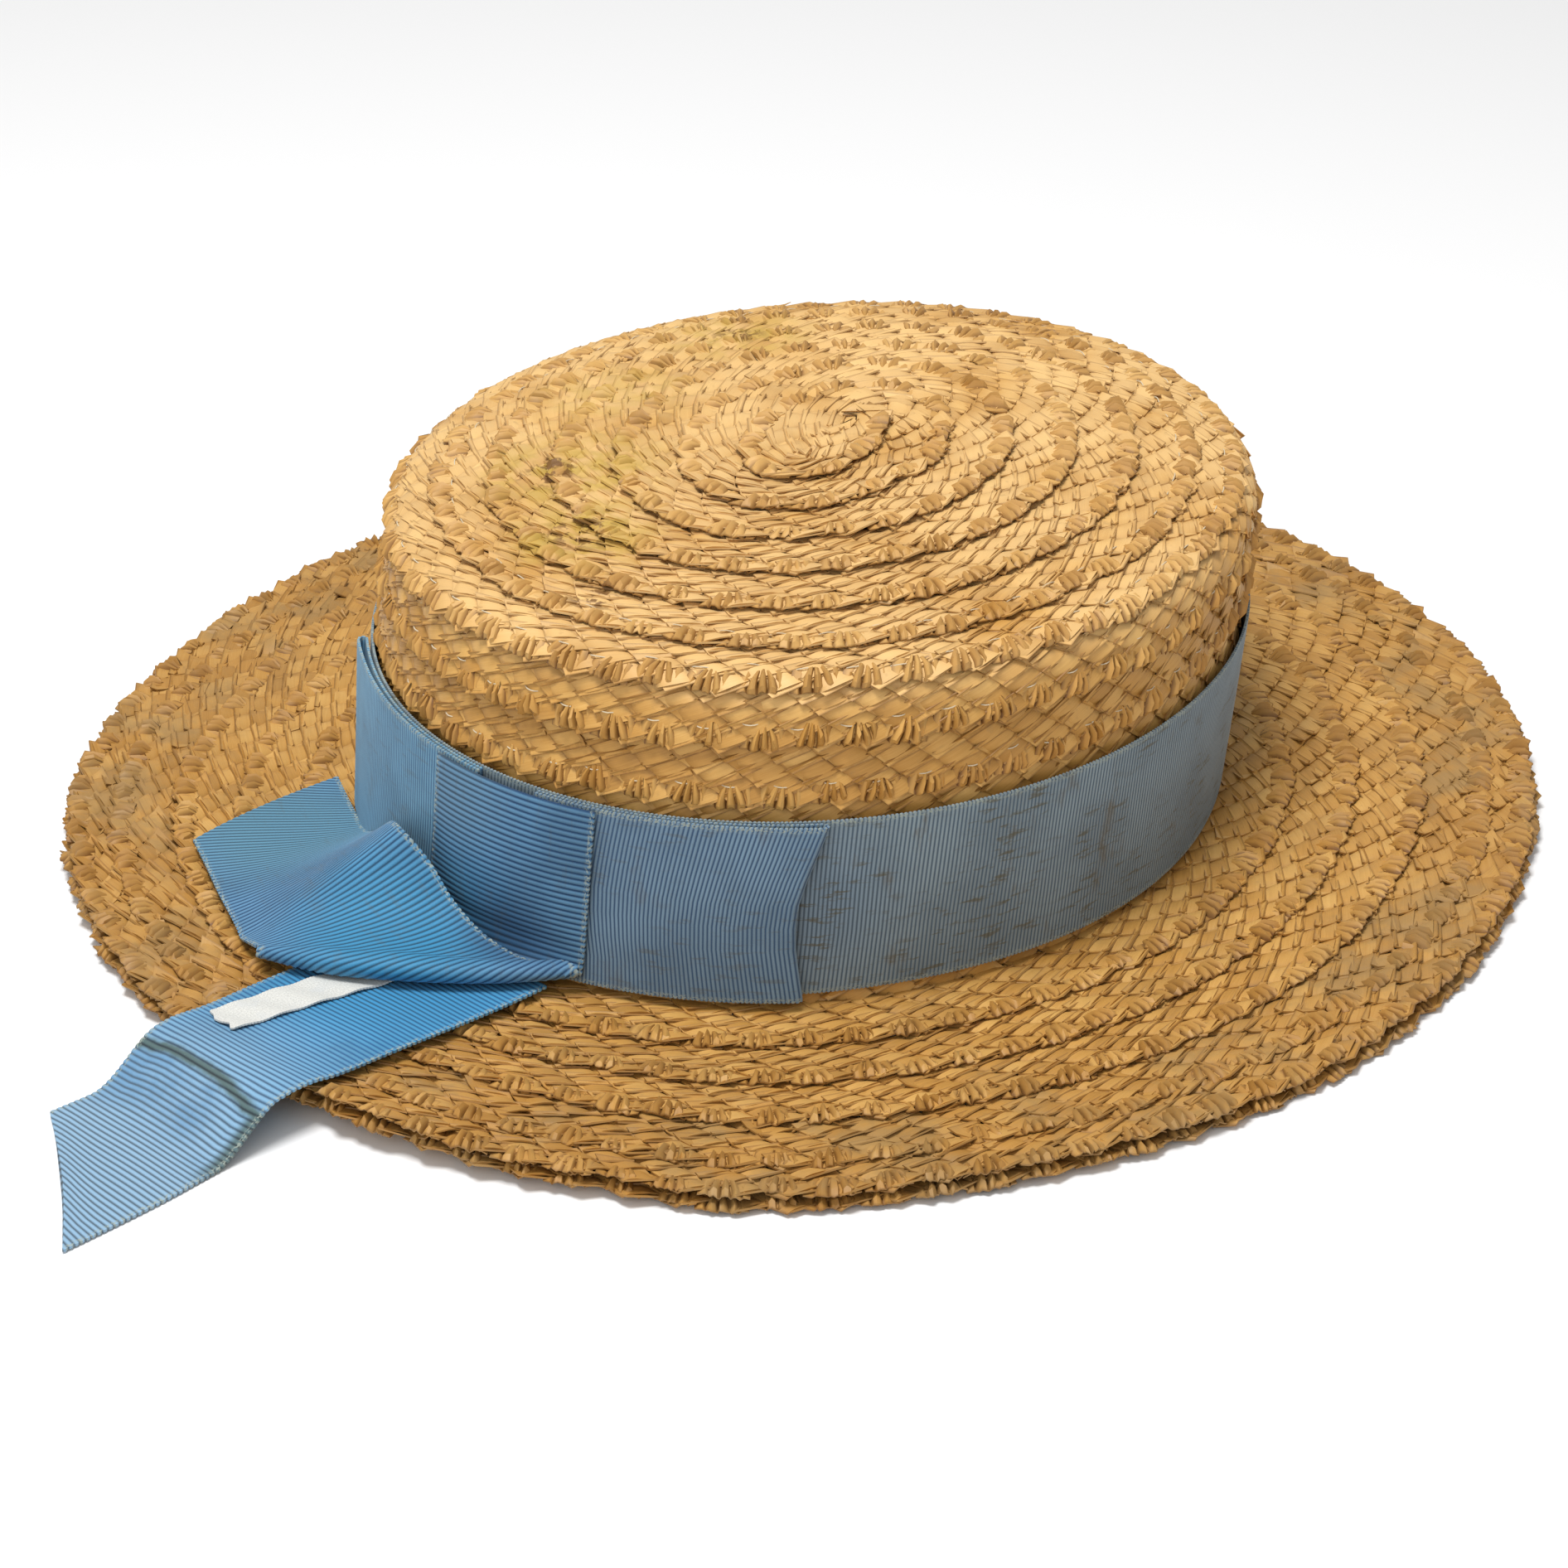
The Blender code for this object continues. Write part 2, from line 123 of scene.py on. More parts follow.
def leaned(height):
    """Where the crown's middle stands in plan at this height."""
    return CROWN_LEAN.x * height / CROWN_CORNER, CROWN_LEAN.y * height / CROWN_CORNER


CROWN_LINE = crown_line()
print("crown profile from the tip's middle to the foot:", round(CROWN_LINE[0][-1], 4))


def plan_normal(reach, turn):
    """The outward direction in plan at a point of an oval."""
    x = np.cos(turn) * (LONG_HALF + np.abs(reach))
    y = np.sin(turn) * np.abs(reach)
    length = np.hypot(x, y) + 1e-9
    return x / length, y / length


def on_crown(along, turn, lift):
    """Points on the crown: distance from the tip's middle, turn, and lift out of the surface."""
    line, reaches, heights, facings = CROWN_LINE
    reach = np.interp(along, line, reaches) + np.minimum(along, 0.0)
    height = np.interp(along, line, heights)
    facing = np.interp(along, line, facings)
    nx, ny = plan_normal(reach, turn)
    x, y = oval(reach, turn, *leaned(height))
    outward = np.cos(facing) * lift
    return np.stack([x + nx * outward, y + ny * outward, height + np.sin(facing) * lift], -1)


REST_RATE = 1.25  # the brim comes to rest on the row under its edge before it ends


def on_brim(reach, turn, lift):
    """Points on the brim. The lift is over its underside, which lies on the row under the edge
    and waves with it."""
    out = np.maximum((reach - CROWN_REACH) / (BRIM_REACH - CROWN_REACH), 0.0)
    rise, more = wave(turn)
    rest = (EDGE_ROW_WALL + GAP) * smooth(out * REST_RATE)
    x, y = oval(reach + more * out * out, turn, BRIM_SHIFT.x * out, BRIM_SHIFT.y * out)
    return np.stack([x, y, lift + rest + rise * out * out], -1)


print("brim's edge in front of the middle:", np.round(on_brim(BRIM_REACH, -math.pi / 2, 0.0), 4))

# %% [markdown]
# ## One strand of the braid
# Two families of flat strands cross at a shallow angle, so each strand shows as a lozenge where it
# passes over another, and dips at its two ends. Whole strands could be woven over and under along
# the row, but most of each would be hidden. So only the part that shows is made: a grid with a few
# columns is arched, so that its ends dip under its neighbours, and given its thickness.

# %% Lozenges
REPEAT = 9.2 * MM
HALF_ROW = 2.5 * MM
LONG_SIDE = Vector((6.0 * MM, HALF_ROW))  # of a lozenge, along the strand that shows
SHORT_SIDE = Vector((3.2 * MM, -HALF_ROW))
LONG_STRETCH = 1.10  # a lozenge's ends reach under its neighbours
SHORT_STRETCH = 0.99
INSIDE_STRETCH = 1.3
ARCH = 0.80 * MM
ARCH_POWER = 3.2
ARCH_SUNK = 0.42  # share of the arch that lies below the row's middle
SIDE_TILT = 0.20 * MM
END_CROWDING = 0.75  # below 1 it brings the grid's columns nearer to the two ends
STRAW_THICK = 0.32 * MM


def finish_shell(bm, verts, thick, shape, along_of):
    """Gives a bent grid its thickness, and writes the strand's own UV, its crease UV and the
    number of its shape."""
    faces = list({face for vert in verts for face in vert.link_faces})
    grain = bm.loops.layers.uv["grain"]
    crease = bm.loops.layers.uv["crease"]
    for face in faces:
        for loop in face.loops:
            loop[grain].uv, loop[crease].uv = along_of[loop.vert]
    made = bmesh.ops.solidify(bm, geom=faces, thickness=thick)
    number = bm.verts.layers.float["shape"]
    for vert in list(verts) + [item for item in made["geom"] if isinstance(item, bmesh.types.BMVert)]:
        vert[number] = shape


def lozenge(bm, centre, way, segments, shape):
    """One strand where it shows: way is 1 on the outside and -1 on the inside, where the strands
    cross the other way."""
    long_side, short_side = (LONG_SIDE, SHORT_SIDE) if way > 0 else (SHORT_SIDE * INSIDE_STRETCH, LONG_SIDE)
    verts = bmesh.ops.create_grid(bm, x_segments=segments, y_segments=1, size=0.5)["verts"]
    flat = {}
    for vert in verts:
        s, t = vert.co.x, vert.co.y
        s = math.copysign(abs(2 * s) ** END_CROWDING / 2, s)
        flat[vert] = ((s * long_side.length, t * short_side.length), (2 * s, 2 * t))
        place = Vector(centre) + long_side * (s * LONG_STRETCH) + short_side * (t * SHORT_STRETCH)
        raised = ARCH * (1 - abs(2 * s) ** ARCH_POWER) - ARCH_SUNK * ARCH - SIDE_TILT * (2 * t)
        vert.co = (place.x, place.y, way * raised)
    if way < 0:
        bmesh.ops.reverse_faces(bm, faces=list({face for vert in verts for face in vert.link_faces}))
    finish_shell(bm, verts, STRAW_THICK, shape, flat)


print("a lozenge is", round(LONG_SIDE.length / MM, 1), "by", round(SHORT_SIDE.length / MM, 1), "mm")

# %% [markdown]
# ## The crimped edge
# At the row's free edge the strands turn back into the braid and are gathered, so that the edge is
# a run of small fans. Each could be a tuft of bent straws, but at this size it reads as one pleated
# piece. So it is one grid, folded like a paper fan: PLEATS gives its folds from side to side, and
# FAN_STEPS how they spread and rise from the throat to the free edge.

# %% Fans
PLEATS = (
    # each fold of the fan: its stand from the middle in mm, how far it is raised in shares of
    # FAN_RISE, and its shade
    (-4.30, -0.15, 0.8), (-3.20, 0.35, 0.2), (-2.75, -0.10, 1.0),
    (-2.35, 0.66, 0.5), (-1.85, 1.00, 0.0), (-1.40, 0.50, 0.6), (-1.10, -0.12, 1.0),
    (-0.70, 0.74, 0.5), (-0.20, 1.10, 0.0), (0.25, 0.55, 0.6), (0.52, -0.12, 1.0),
    (0.92, 0.66, 0.5), (1.45, 1.02, 0.0), (1.95, 0.45, 0.6), (2.28, -0.15, 1.0),
    (3.00, 0.25, 0.2), (4.30, -0.15, 0.8),
)
FAN_STEPS = (
    # from the throat to the free edge: share of the way, spread of the pleats, share of the rise
    (0.00, 0.56, 0.25), (0.38, 0.95, 1.00), (0.78, 1.18, 0.82), (1.00, 1.16, 0.10),
)
FAN_LONG = 4.7 * MM
FAN_RISE = 1.6 * MM
FAN_LIFT = 0.10 * MM
FAN_THIN = 0.8  # its straw as a share of STRAW_THICK
PLEAT_WIDE = 0.55 * MM  # of flat straw in one fold
WING_REACH = (0.90, 0.95, 0.98, 1.0)  # the outermost folds stop short of the free edge
WING_SPREAD = 0.25  # and spread less than the others


def fan(bm, centre, shape):
    """The crimped edge: a grid folded like a paper fan, narrow at its throat."""
    columns, rows = len(PLEATS) - 1, len(FAN_STEPS) - 1
    verts = bmesh.ops.create_grid(bm, x_segments=columns, y_segments=rows, size=0.5)["verts"]
    flat = {}
    for vert in verts:
        column = round((vert.co.x + 0.5) * columns)
        row = round((vert.co.y + 0.5) * rows)
        stand, rise, shade = PLEATS[column]
        way, spread, share = FAN_STEPS[row]
        wing = min(column, columns - column)
        # the crease UV carries each fold's painted shade to the material
        flat[vert] = ((way * FAN_LONG, column * PLEAT_WIDE), (0.80 + 0.19 * shade, way))
        vert.co = (
            centre[0] + stand * MM * (spread if wing > 1 else 1 - WING_SPREAD + WING_SPREAD * spread),
            centre[1] + way * FAN_LONG * WING_REACH[min(wing, 3)],
            FAN_RISE * rise * share + FAN_LIFT,
        )
    finish_shell(bm, verts, STRAW_THICK * FAN_THIN, shape, flat)


print("a fan has", len(PLEATS), "folds over", PLEATS[-1][0] - PLEATS[0][0], "mm")

# %% [markdown]
# ## The sewing
# The rows are sewn together, and a short pale thread shows over the throat of each fan.
# A curve with a bevel would do, but it has to ride on the same strip as the braid. So one stitch is
# a thin five-sided rod, cut along its length and bent down at both ends.

# %% Stitches
STITCH_LONG = 3.4 * MM
STITCH_THICK = 0.24 * MM
STITCH_BACK = 0.1 * MM  # from the fan's throat
STITCH_BOW = 0.7 * MM
STITCH_RISE = 0.62 * MM
STITCH_DIP = 1.9 * MM


def stitch_mesh(name, free_edge):
    """One repeat of the sewing: a short pale thread over the throat of a fan."""
    bm = bmesh.new()
    bm.loops.layers.uv.new("grain")
    bm.verts.layers.float.new("shape")
    bmesh.ops.create_cone(
        bm, segments=5, radius1=0.5, radius2=0.5, depth=1.0, cap_ends=True,
        matrix=Matrix.Rotation(math.pi / 2, 4, "Y"),
    )
    sides = [edge for edge in bm.edges if abs(edge.verts[0].co.x - edge.verts[1].co.x) > 0.5]
    bmesh.ops.subdivide_edges(bm, edges=sides, cuts=3)
    for vert in bm.verts:
        x, y, z = vert.co
        vert.co = (
            REPEAT * 0.5 + x * STITCH_LONG,
            free_edge - FAN_LONG - STITCH_BACK + y * STITCH_THICK + STITCH_BOW * (0.25 - x * x),
            STITCH_RISE + z * STITCH_THICK - STITCH_DIP * x * x,
        )
    mesh = bpy.data.meshes.new(name)
    bm.to_mesh(mesh)
    bm.free()
    return mesh


print("a stitch is", round(STITCH_LONG / MM, 1), "mm long")

# %% [markdown]
# ## One repeat of the braid
# The braid is the same every few millimetres, so one cell of it is enough: lozenges in half rows
# for the outside, as many for the inside, which is seen under the brim, and one fan. Every shape
# carries its own number, which later lets chance move each of them by itself.

# %% A cell of braid
FIRST_BACK = 2.3 * MM  # from the free edge to the middle of the first half row
FIRST_ALONG = 0.2  # of REPEAT


def repeat_mesh(name, half_rows, free_edge, fans=True, inside=True):
    """One repeat of braid: half_rows of lozenges back from the free edge at v = free_edge. Returns
    its mesh and how many shapes it has."""
    bm = bmesh.new()
    bm.loops.layers.uv.new("grain")
    bm.loops.layers.uv.new("crease")
    bm.verts.layers.float.new("shape")
    shape = 0
    for row in range(half_rows):
        v = free_edge - FIRST_BACK - row * HALF_ROW
        u = (REPEAT * FIRST_ALONG + row * SHORT_SIDE.x) % REPEAT
        lozenge(bm, (u, v), 1, 5 if fans else 3, shape)
        shape += 1
        if inside:
            lozenge(bm, (u, v), -1, 3, shape)
            shape += 1
    if fans:
        fan(bm, (REPEAT * 0.5, free_edge - FAN_LONG), shape)
        shape += 1
    mesh = bpy.data.meshes.new(name)
    bm.to_mesh(mesh)
    bm.free()
    return mesh, shape


probe, probe_shapes = repeat_mesh("probe", 6, 15.0 * MM)
print("one repeat of braid:", len(probe.polygons), "faces in", probe_shapes, "shapes")
bpy.data.meshes.remove(probe)

# %% [markdown]
# ## A strip of braid
# An Array modifier repeats the cell along a straight strip, where u runs along the row, v across
# it from the hidden edge to the free one, and w out of it. Old straw is not regular: each strand
# is turned, sized, tipped, rolled and shifted a little by chance, always from the same seed, and a
# few stand up more, as frayed ones do. The strip is wrapped on the hat afterwards.

# %% A strip, loosened by chance
chance = np.random.default_rng(11)
STRAND_SWAY = {"turn": 0.040, "size": 0.030, "tip": 0.045, "roll": 0.040}
FAN_SWAY = {"turn": 0.07, "size": 0.06, "tip": 0.04, "roll": 0.07}
FRAYED_SHARE = 0.025
FRAYED_TIP = 0.13
FAN_RISE_SWAY = 0.22
STRAND_SHIFT, FAN_SHIFT, STITCH_SHIFT = 0.12, 0.38, 0.45  # in mm
CREASE_SWAY, CREASE_SHIFT = 0.16 * MM, 0.20 * MM  # of single folds of a fan
CREASES = 7  # folds of a fan that chance moves apart


def read(values, collection, key, width=1):
    data = np.zeros(len(collection) * width, values)
    collection.foreach_get(key, data)
    return data.reshape(-1, width) if width > 1 else data


def braid_strip(cells, half_rows, free_edge, fans=True, inside=True, worn=1.0):
    """A straight strip of braid, loosened by chance and by wear, or of its stitches where
    half_rows is 0. Returns its mesh and points."""
    if half_rows:
        cell, shapes = repeat_mesh("cell", half_rows, free_edge, fans, inside)
    else:
        cell, shapes, fans = stitch_mesh("cell", free_edge), 1, False
    holder = bpy.data.objects.new("strip", cell)
    bpy.context.scene.collection.objects.link(holder)
    array = holder.modifiers.new("repeat", "ARRAY")
    array.count = cells
    array.use_relative_offset = False
    array.use_constant_offset = True
    array.constant_offset_displace = (REPEAT, 0.0, 0.0)
    graph = bpy.context.evaluated_depsgraph_get()
    mesh = bpy.data.meshes.new_from_object(holder.evaluated_get(graph))
    bpy.data.objects.remove(holder)
    points = read(np.float32, mesh.vertices, "co", 3).astype(float)
    shape = np.round(read(np.float32, mesh.attributes["shape"].data, "value")).astype(int)
    copy = np.repeat(np.arange(cells), len(points) // cells)
    part = copy * shapes + shape
    count = cells * shapes
    is_fan = np.logical_and(fans, shape == shapes - 1)
    middle = np.stack([np.bincount(part, points[:, k], count) for k in range(3)], 1)
    middle /= np.bincount(part, minlength=count)[:, None]
    local = points - middle[part]
    sway = chance.normal(0, 1, (count, 6)) * worn
    frayed = (chance.random(count) < FRAYED_SHARE * worn)[part]
    strand_tip = np.where(frayed, FRAYED_TIP, STRAND_SWAY["tip"])
    turn = np.where(is_fan, FAN_SWAY["turn"], STRAND_SWAY["turn"]) * sway[part, 0]
    size = 1 + np.where(is_fan, FAN_SWAY["size"], STRAND_SWAY["size"]) * sway[part, 1]
    tip = np.where(is_fan, FAN_SWAY["tip"], strand_tip) * sway[part, 2]
    roll = np.where(is_fan, FAN_SWAY["roll"], STRAND_SWAY["roll"]) * sway[part, 3]
    rise = np.where(is_fan, 1 + FAN_RISE_SWAY * sway[part, 4], 1.0)
    u = local[:, 0] * np.cos(turn) - local[:, 1] * np.sin(turn)
    v = local[:, 0] * np.sin(turn) + local[:, 1] * np.cos(turn)
    w = local[:, 2] * np.clip(rise, 0.6, 1.2) + u * tip + v * roll
    shift = np.where(is_fan, FAN_SHIFT, STRAND_SHIFT if half_rows else STITCH_SHIFT)[:, None] * MM
    shift = shift * chance.normal(0, 1, (count, 2))[part]
    points = middle[part] + np.stack([u * size, v * size, w], 1)
    points[:, :2] += shift
    column = np.round((local[:, 0] / MM) * 2).astype(int) % CREASES
    crease = chance.normal(0, 1, (count, CREASES))[part, column]
    points[:, 2] += np.where(is_fan, CREASE_SWAY * crease, 0.0)
    crease = chance.normal(0, 1, (count, CREASES))[part, column]
    points[:, 1] += np.where(is_fan, CREASE_SHIFT * crease, 0.0)
    tone = chance.random(count)[part]
    # tone, lift and fold go to the material: lift gives painted shade on the low parts, fold makes the
    # crease shade stronger on the fans
    for name, value in (("tone", tone), ("lift", points[:, 2] / MM), ("fold", is_fan)):
        attribute = mesh.attributes.new(name, "FLOAT", "POINT")
        attribute.data.foreach_set("value", value.astype(np.float32))
    grain = mesh.uv_layers["grain"].data
    uv = read(np.float32, grain, "uv", 2)
    corner = read(np.int32, mesh.loops, "vertex_index")
    uv += (chance.random((count, 2)) * 3.0)[part[corner]].astype(np.float32)
    grain.foreach_set("uv", uv.ravel())
    return mesh, points


def tilt(v, low, high, wide):
    """How a row lies over the next: its hidden edge low, its free edge high."""
    return low + (high - low) * v / wide


def put(mesh, points):
    """Moves a mesh's points, none of them below the surface that the hat lies on."""
    points[:, 2] = np.maximum(points[:, 2], 0.0)
    mesh.vertices.foreach_set("co", points.astype(np.float32).ravel())
    mesh.update()
    return mesh


print("a strip is loosened by chance in", len(STRAND_SWAY) + 1, "ways")

# %% [markdown]
# ## Rows of the crown
# The crown is one run of braid in a spiral, down from the tip's middle to the wall's foot, each row
# lapping over the next one by a few millimetres. Separate rings would be simpler, but the spiral is
# seen on the tip. The place along the strip gives the turn, the place across it the distance along
# the crown's profile, and each row tilts, so that its free edge lies on the row after it.

# %% Wrap the spiral
ROW_STARTS = (
    # turns of the spiral, and the row's free edge in mm from the tip's middle
    (0.0, 13.4), (1.0, 26.1), (5.0, 77.2), (5.5, 79.8), (6.0, 88.0), (7.0, 99.5), (11.6, 156.5),
)
SPIRAL_TURN = math.radians(117)  # where the turns above are counted from
BRAID_WIDE = 15.8 * MM
spiral_turns = np.linspace(-0.6, 12.6, 6000)
rows_turn, rows_edge = np.array(ROW_STARTS).T
rows_edge = rows_edge * MM
first_slope = rows_edge[1] - rows_edge[0]


def free_edge_at(turns):
    return np.interp(turns, rows_turn, rows_edge) + np.minimum(turns, 0.0) * first_slope


line = on_crown(free_edge_at(spiral_turns) - BRAID_WIDE / 2, SPIRAL_TURN - 2 * math.pi * spiral_turns, 0.0)
spiral_long = np.concatenate([[0.0], np.cumsum(np.linalg.norm(np.diff(line, axis=0), axis=1))])
print("braid in the crown:", round(spiral_long[-1], 2), "m")


RIM_AT = 82 * MM  # the crown's rim along its profile
HIDDEN_EDGE = -1.55 * MM  # the two edges of a row out of the crown's surface
FREE_EDGE, WALL_EDGE, PRESSED_EDGE = 0.05, 0.10, 0.75  # in mm: on the tip, more on the wall, less at the rim
PRESSED_THIN = 0.55


def crown_rows(first, last, half_rows, fans):
    """The braid of the crown between two counts of turns."""
    start, stop = np.interp([first, last], spiral_turns, spiral_long)
    cells = round((stop - start) / REPEAT)
    mesh, points = braid_strip(cells, half_rows, BRAID_WIDE, fans)
    turns = np.interp(start + points[:, 0] * (stop - start) / (cells * REPEAT), spiral_long, spiral_turns)
    along = free_edge_at(turns) - BRAID_WIDE + points[:, 1]
    onto_wall = smooth((along - RIM_AT) / (10 * MM))
    far = 0.5 - 0.5 * np.cos(2 * math.pi * turns)
    pressed = far * np.exp(-(((along - RIM_AT) / (8 * MM)) ** 2))  # the rows lie flat over the front rim
    high = (FREE_EDGE + WALL_EDGE * onto_wall - PRESSED_EDGE * pressed) * MM
    lie = tilt(points[:, 1], HIDDEN_EDGE, high, BRAID_WIDE)
    lift = points[:, 2] * (1 - PRESSED_THIN * pressed) + lie
    return put(mesh, on_crown(along, SPIRAL_TURN - 2 * math.pi * turns, lift))


# %% [markdown]
# ## The start of the braid
# A sewn braid starts straight, and the first turn is sewn round that start. The spiral alone would
# leave a small hole at its middle, so a short flat strip lies under it, along the oval's longer
# axis.

# %% Straight start
START_DEPTH = 1.7 * MM
START_CELLS = 3


def start_strip():
    """The braid's straight beginning, flat under the middle of the first turn."""
    mesh, points = braid_strip(START_CELLS, 6, BRAID_WIDE, fans=False, inside=False)
    height = CROWN_CORNER + DOME_RISE - START_DEPTH
    middle_x, middle_y = leaned(height)
    x = BRAID_WIDE / 2 - points[:, 1] + middle_x
    y = points[:, 0] - START_CELLS * REPEAT / 2 + middle_y
    return put(mesh, np.stack([x, y, height + points[:, 2]], -1))


print("straight start:", round(START_CELLS * REPEAT / MM, 1), "mm long")

# %% [markdown]
# ## Rows of the brim
# On the brim the spiral's turns are so wide that whole rings look the same, and a ring closes
# without a step at the edge. Each ring wraps one strip, whose length is a whole number of cells.
# The outermost rows are more worn, so chance moves their strands further.

# %% Wrap the rings
BRIM_ROWS = (
    # the row's free edge in mm from the middle, its half rows of lozenges, and the heights of its
    # hidden and free edges in mm over the brim's underside
    (102.3, 6, 1.3, 1.5), (115.5, 6, 0.3, 1.5), (128.7, 6, 0.3, 1.5), (141.9, 6, 0.3, 1.5),
    (150.2, 5, 0.5, 1.5),
)
EDGE_ROW = (151.0, 5, -1.5, -1.0)  # the row sewn under the brim's edge, in the same way


def brim_ring(edge, half_rows, low, high, worn=1.0):
    """One closed row of the brim."""
    edge, low, high = edge * MM, low * MM, high * MM
    turns = np.linspace(0, 2 * math.pi, 2000)
    middle = on_brim(edge - BRAID_WIDE / 2, -turns, 0.0)
    length = np.concatenate([[0.0], np.cumsum(np.linalg.norm(np.diff(middle, axis=0), axis=1))])
    cells = round(length[-1] / REPEAT)
    mesh, points = braid_strip(cells, half_rows, BRAID_WIDE, worn=worn)
    turn = np.interp((points[:, 0] / (cells * REPEAT)) % 1.0 * length[-1], length, turns)
    lie = tilt(points[:, 1], low, high, BRAID_WIDE)
    return put(mesh, on_brim(edge - BRAID_WIDE + points[:, 1], -turn, points[:, 2] + lie))


def joined(meshes):
    """Several meshes as one."""
    bm = bmesh.new()
    for mesh in meshes:
        bm.from_mesh(mesh)
    made = bpy.data.meshes.new("joined")
    bm.to_mesh(made)
    bm.free()
    return made


print("rings in the brim:", len(BRIM_ROWS))

# %% [markdown]
# ## Ribbons
# The ribbons are ribbed cloth, stiff enough to keep a fold. Cloth simulation would settle them
# somewhere near the photographed shape, but not in it. So every ribbon starts as a few rows of
# points, which give its path and its two edges, and a flat slab made from a grid is bent along a
# smooth curve through them. Four columns of the grid make one rib, raised on both faces, and the
# ribs end in small loops at the selvedge.

# %% Bend a ribbon
RIBBON_THICK = 0.8 * MM  # of the solids
ROW_STEP = 1.0 * MM  # a row's free edge over the row that it covers, in the solids
BAND_OUTSIDE = CROWN_REACH + ROW_STEP + GAP + RIBBON_THICK
LAYER = 0.85 * MM  # from one layer of the bow to the next
CLOTH = 0.42 * MM  # the ribbon's thickness between its ribs
FINE_RIB = 0.86 * MM  # of the band and the loops
WIDE_RIB = 1.25 * MM  # of the knot and the tails
RIB_SHAPE = np.array((0.0, 0.78, 1.0, 0.78))
SELVEDGE_FLAT = 0.4  # a rib's height at the selvedge, as a share


def curve(knots, values, at):
    """A smooth curve through values at the knots."""
    slope = np.gradient(values, knots, axis=0)
    part = np.clip(np.searchsorted(knots, at) - 1, 0, len(knots) - 2)
    wide = (knots[part + 1] - knots[part])[:, None, None]
    t = ((at - knots[part]) / (knots[part + 1] - knots[part]))[:, None, None]
    first = values[part] * (1 + 2 * t) * (1 - t) ** 2 + slope[part] * wide * t * (1 - t) ** 2
    return first + values[part + 1] * t * t * (3 - 2 * t) - slope[part + 1] * wide * t * t * (1 - t)


def ribbon_mesh(
    name, rows, rib, across, thick=CLOTH, raised=0.11 * MM, sway=0.25 * MM, scallop=0.22 * MM,
    knots=None, cut=None,
):
    """A ribbon through rows of points. Its UV counts ribs along it, and its width from 0 to 1.
    knots gives the length of ribbon up to each point, and cut the lengths at which its two edges
    end."""
    rows = np.array(rows, float)
    if knots is None:
        steps = np.linalg.norm(np.diff(rows, axis=0), axis=2).mean(1)
        knots = np.tile(np.concatenate([[0.0], np.cumsum(steps)])[:, None], (1, rows.shape[1]))
    long = knots[-1].max()
    columns = 4 * round(long / rib)
    edge = np.array((0.0, 0.35, 1.4)) * MM / RIBBON_WIDTH
    shares = np.concatenate([edge, np.linspace(edge[-1], 1 - edge[-1], across)[1:-1], 1 - edge[::-1]])
    at = np.linspace(0.0, long, columns + 1)
    lines = curve(np.linspace(0, 1, rows.shape[1]), np.dstack([rows, knots]).transpose(1, 0, 2), shares)
    place = np.stack([curve(line[:, 3], line[:, None, :3], at)[:, 0] for line in lines], 1)
    along = np.gradient(place, axis=0)
    beside = np.gradient(place, axis=1)
    out = np.cross(along, beside)
    out /= np.linalg.norm(out, axis=2)[:, :, None] + 1e-12
    along /= np.linalg.norm(along, axis=2)[:, :, None] + 1e-12
    beside /= np.linalg.norm(beside, axis=2)[:, :, None] + 1e-12
    wave_along = np.sin(at[:, None] / (23 * MM) + 1.3) + np.sin(at[:, None] / (61 * MM))
    wander = sway * np.sin(shares[None, :] * 5.2 + wave_along * 1.2)
    wander = wander * np.sin(at[:, None] / (9.7 * MM) + 2 * shares[None, :])
    ends = np.minimum(np.minimum(at, long - at) / (4 * MM), 1.0)
    place += along * (wander * ends[:, None])[:, :, None]
    height = RIB_SHAPE[np.arange(columns + 1) % 4]
    place[:, 0] -= beside[:, 0] * (scallop * height)[:, None]
    place[:, -1] += beside[:, -1] * (scallop * height)[:, None]
    bm = bmesh.new()
    flat = bm.loops.layers.uv.new("flat")
    last = len(shares) - 1
    bmesh.ops.create_grid(bm, x_segments=columns, y_segments=last, size=0.5)
    bmesh.ops.solidify(bm, geom=list(bm.faces), thickness=0.1)
    for vert in bm.verts:
        vert.co.y = shares[round((vert.co.y + 0.5) * last)] - 0.5
    if cut:
        first, final = (value / long - 0.5 for value in cut)
        geometry = list(bm.verts) + list(bm.edges) + list(bm.faces)
        done = bmesh.ops.bisect_plane(
            bm, geom=geometry, plane_co=(first, -0.5, 0.0), plane_no=(1.0, first - final, 0.0),
            clear_outer=True,
        )
        rim = [item for item in done["geom_cut"] if isinstance(item, bmesh.types.BMEdge)]
        bmesh.ops.holes_fill(bm, edges=rim)
    bmesh.ops.recalc_face_normals(bm, faces=list(bm.faces))
    middle = sum(vert.co.z for vert in bm.verts) / len(bm.verts)
    for vert in bm.verts:
        x = (vert.co.x + 0.5) * columns
        y = float(np.interp(vert.co.y + 0.5, shares, np.arange(last + 1)))
        i, j = min(int(x + 1e-4), columns - 1), min(int(y + 1e-4), last - 1)
        a, b = x - i, y - j

        def at_point(grid):
            near = grid[i, j] * (1 - a) + grid[i + 1, j] * a
            far = grid[i, j + 1] * (1 - a) + grid[i + 1, j + 1] * a
            return near * (1 - b) + far * b

        side = 1 if vert.co.z > middle else -1
        at_edge = y < 0.01 or y > last - 0.01
        rise = (height[i] * (1 - a) + height[i + 1] * a) * (SELVEDGE_FLAT if at_edge else 1.0)
        for loop in vert.link_loops:
            loop[flat].uv = (x / 4, vert.co.y + 0.5)
        vert.co = at_point(place) + at_point(out) * (side * (thick / 2 + raised * rise))
    mesh = bpy.data.meshes.new(name)
    bm.to_mesh(mesh)
    bm.free()
    return mesh


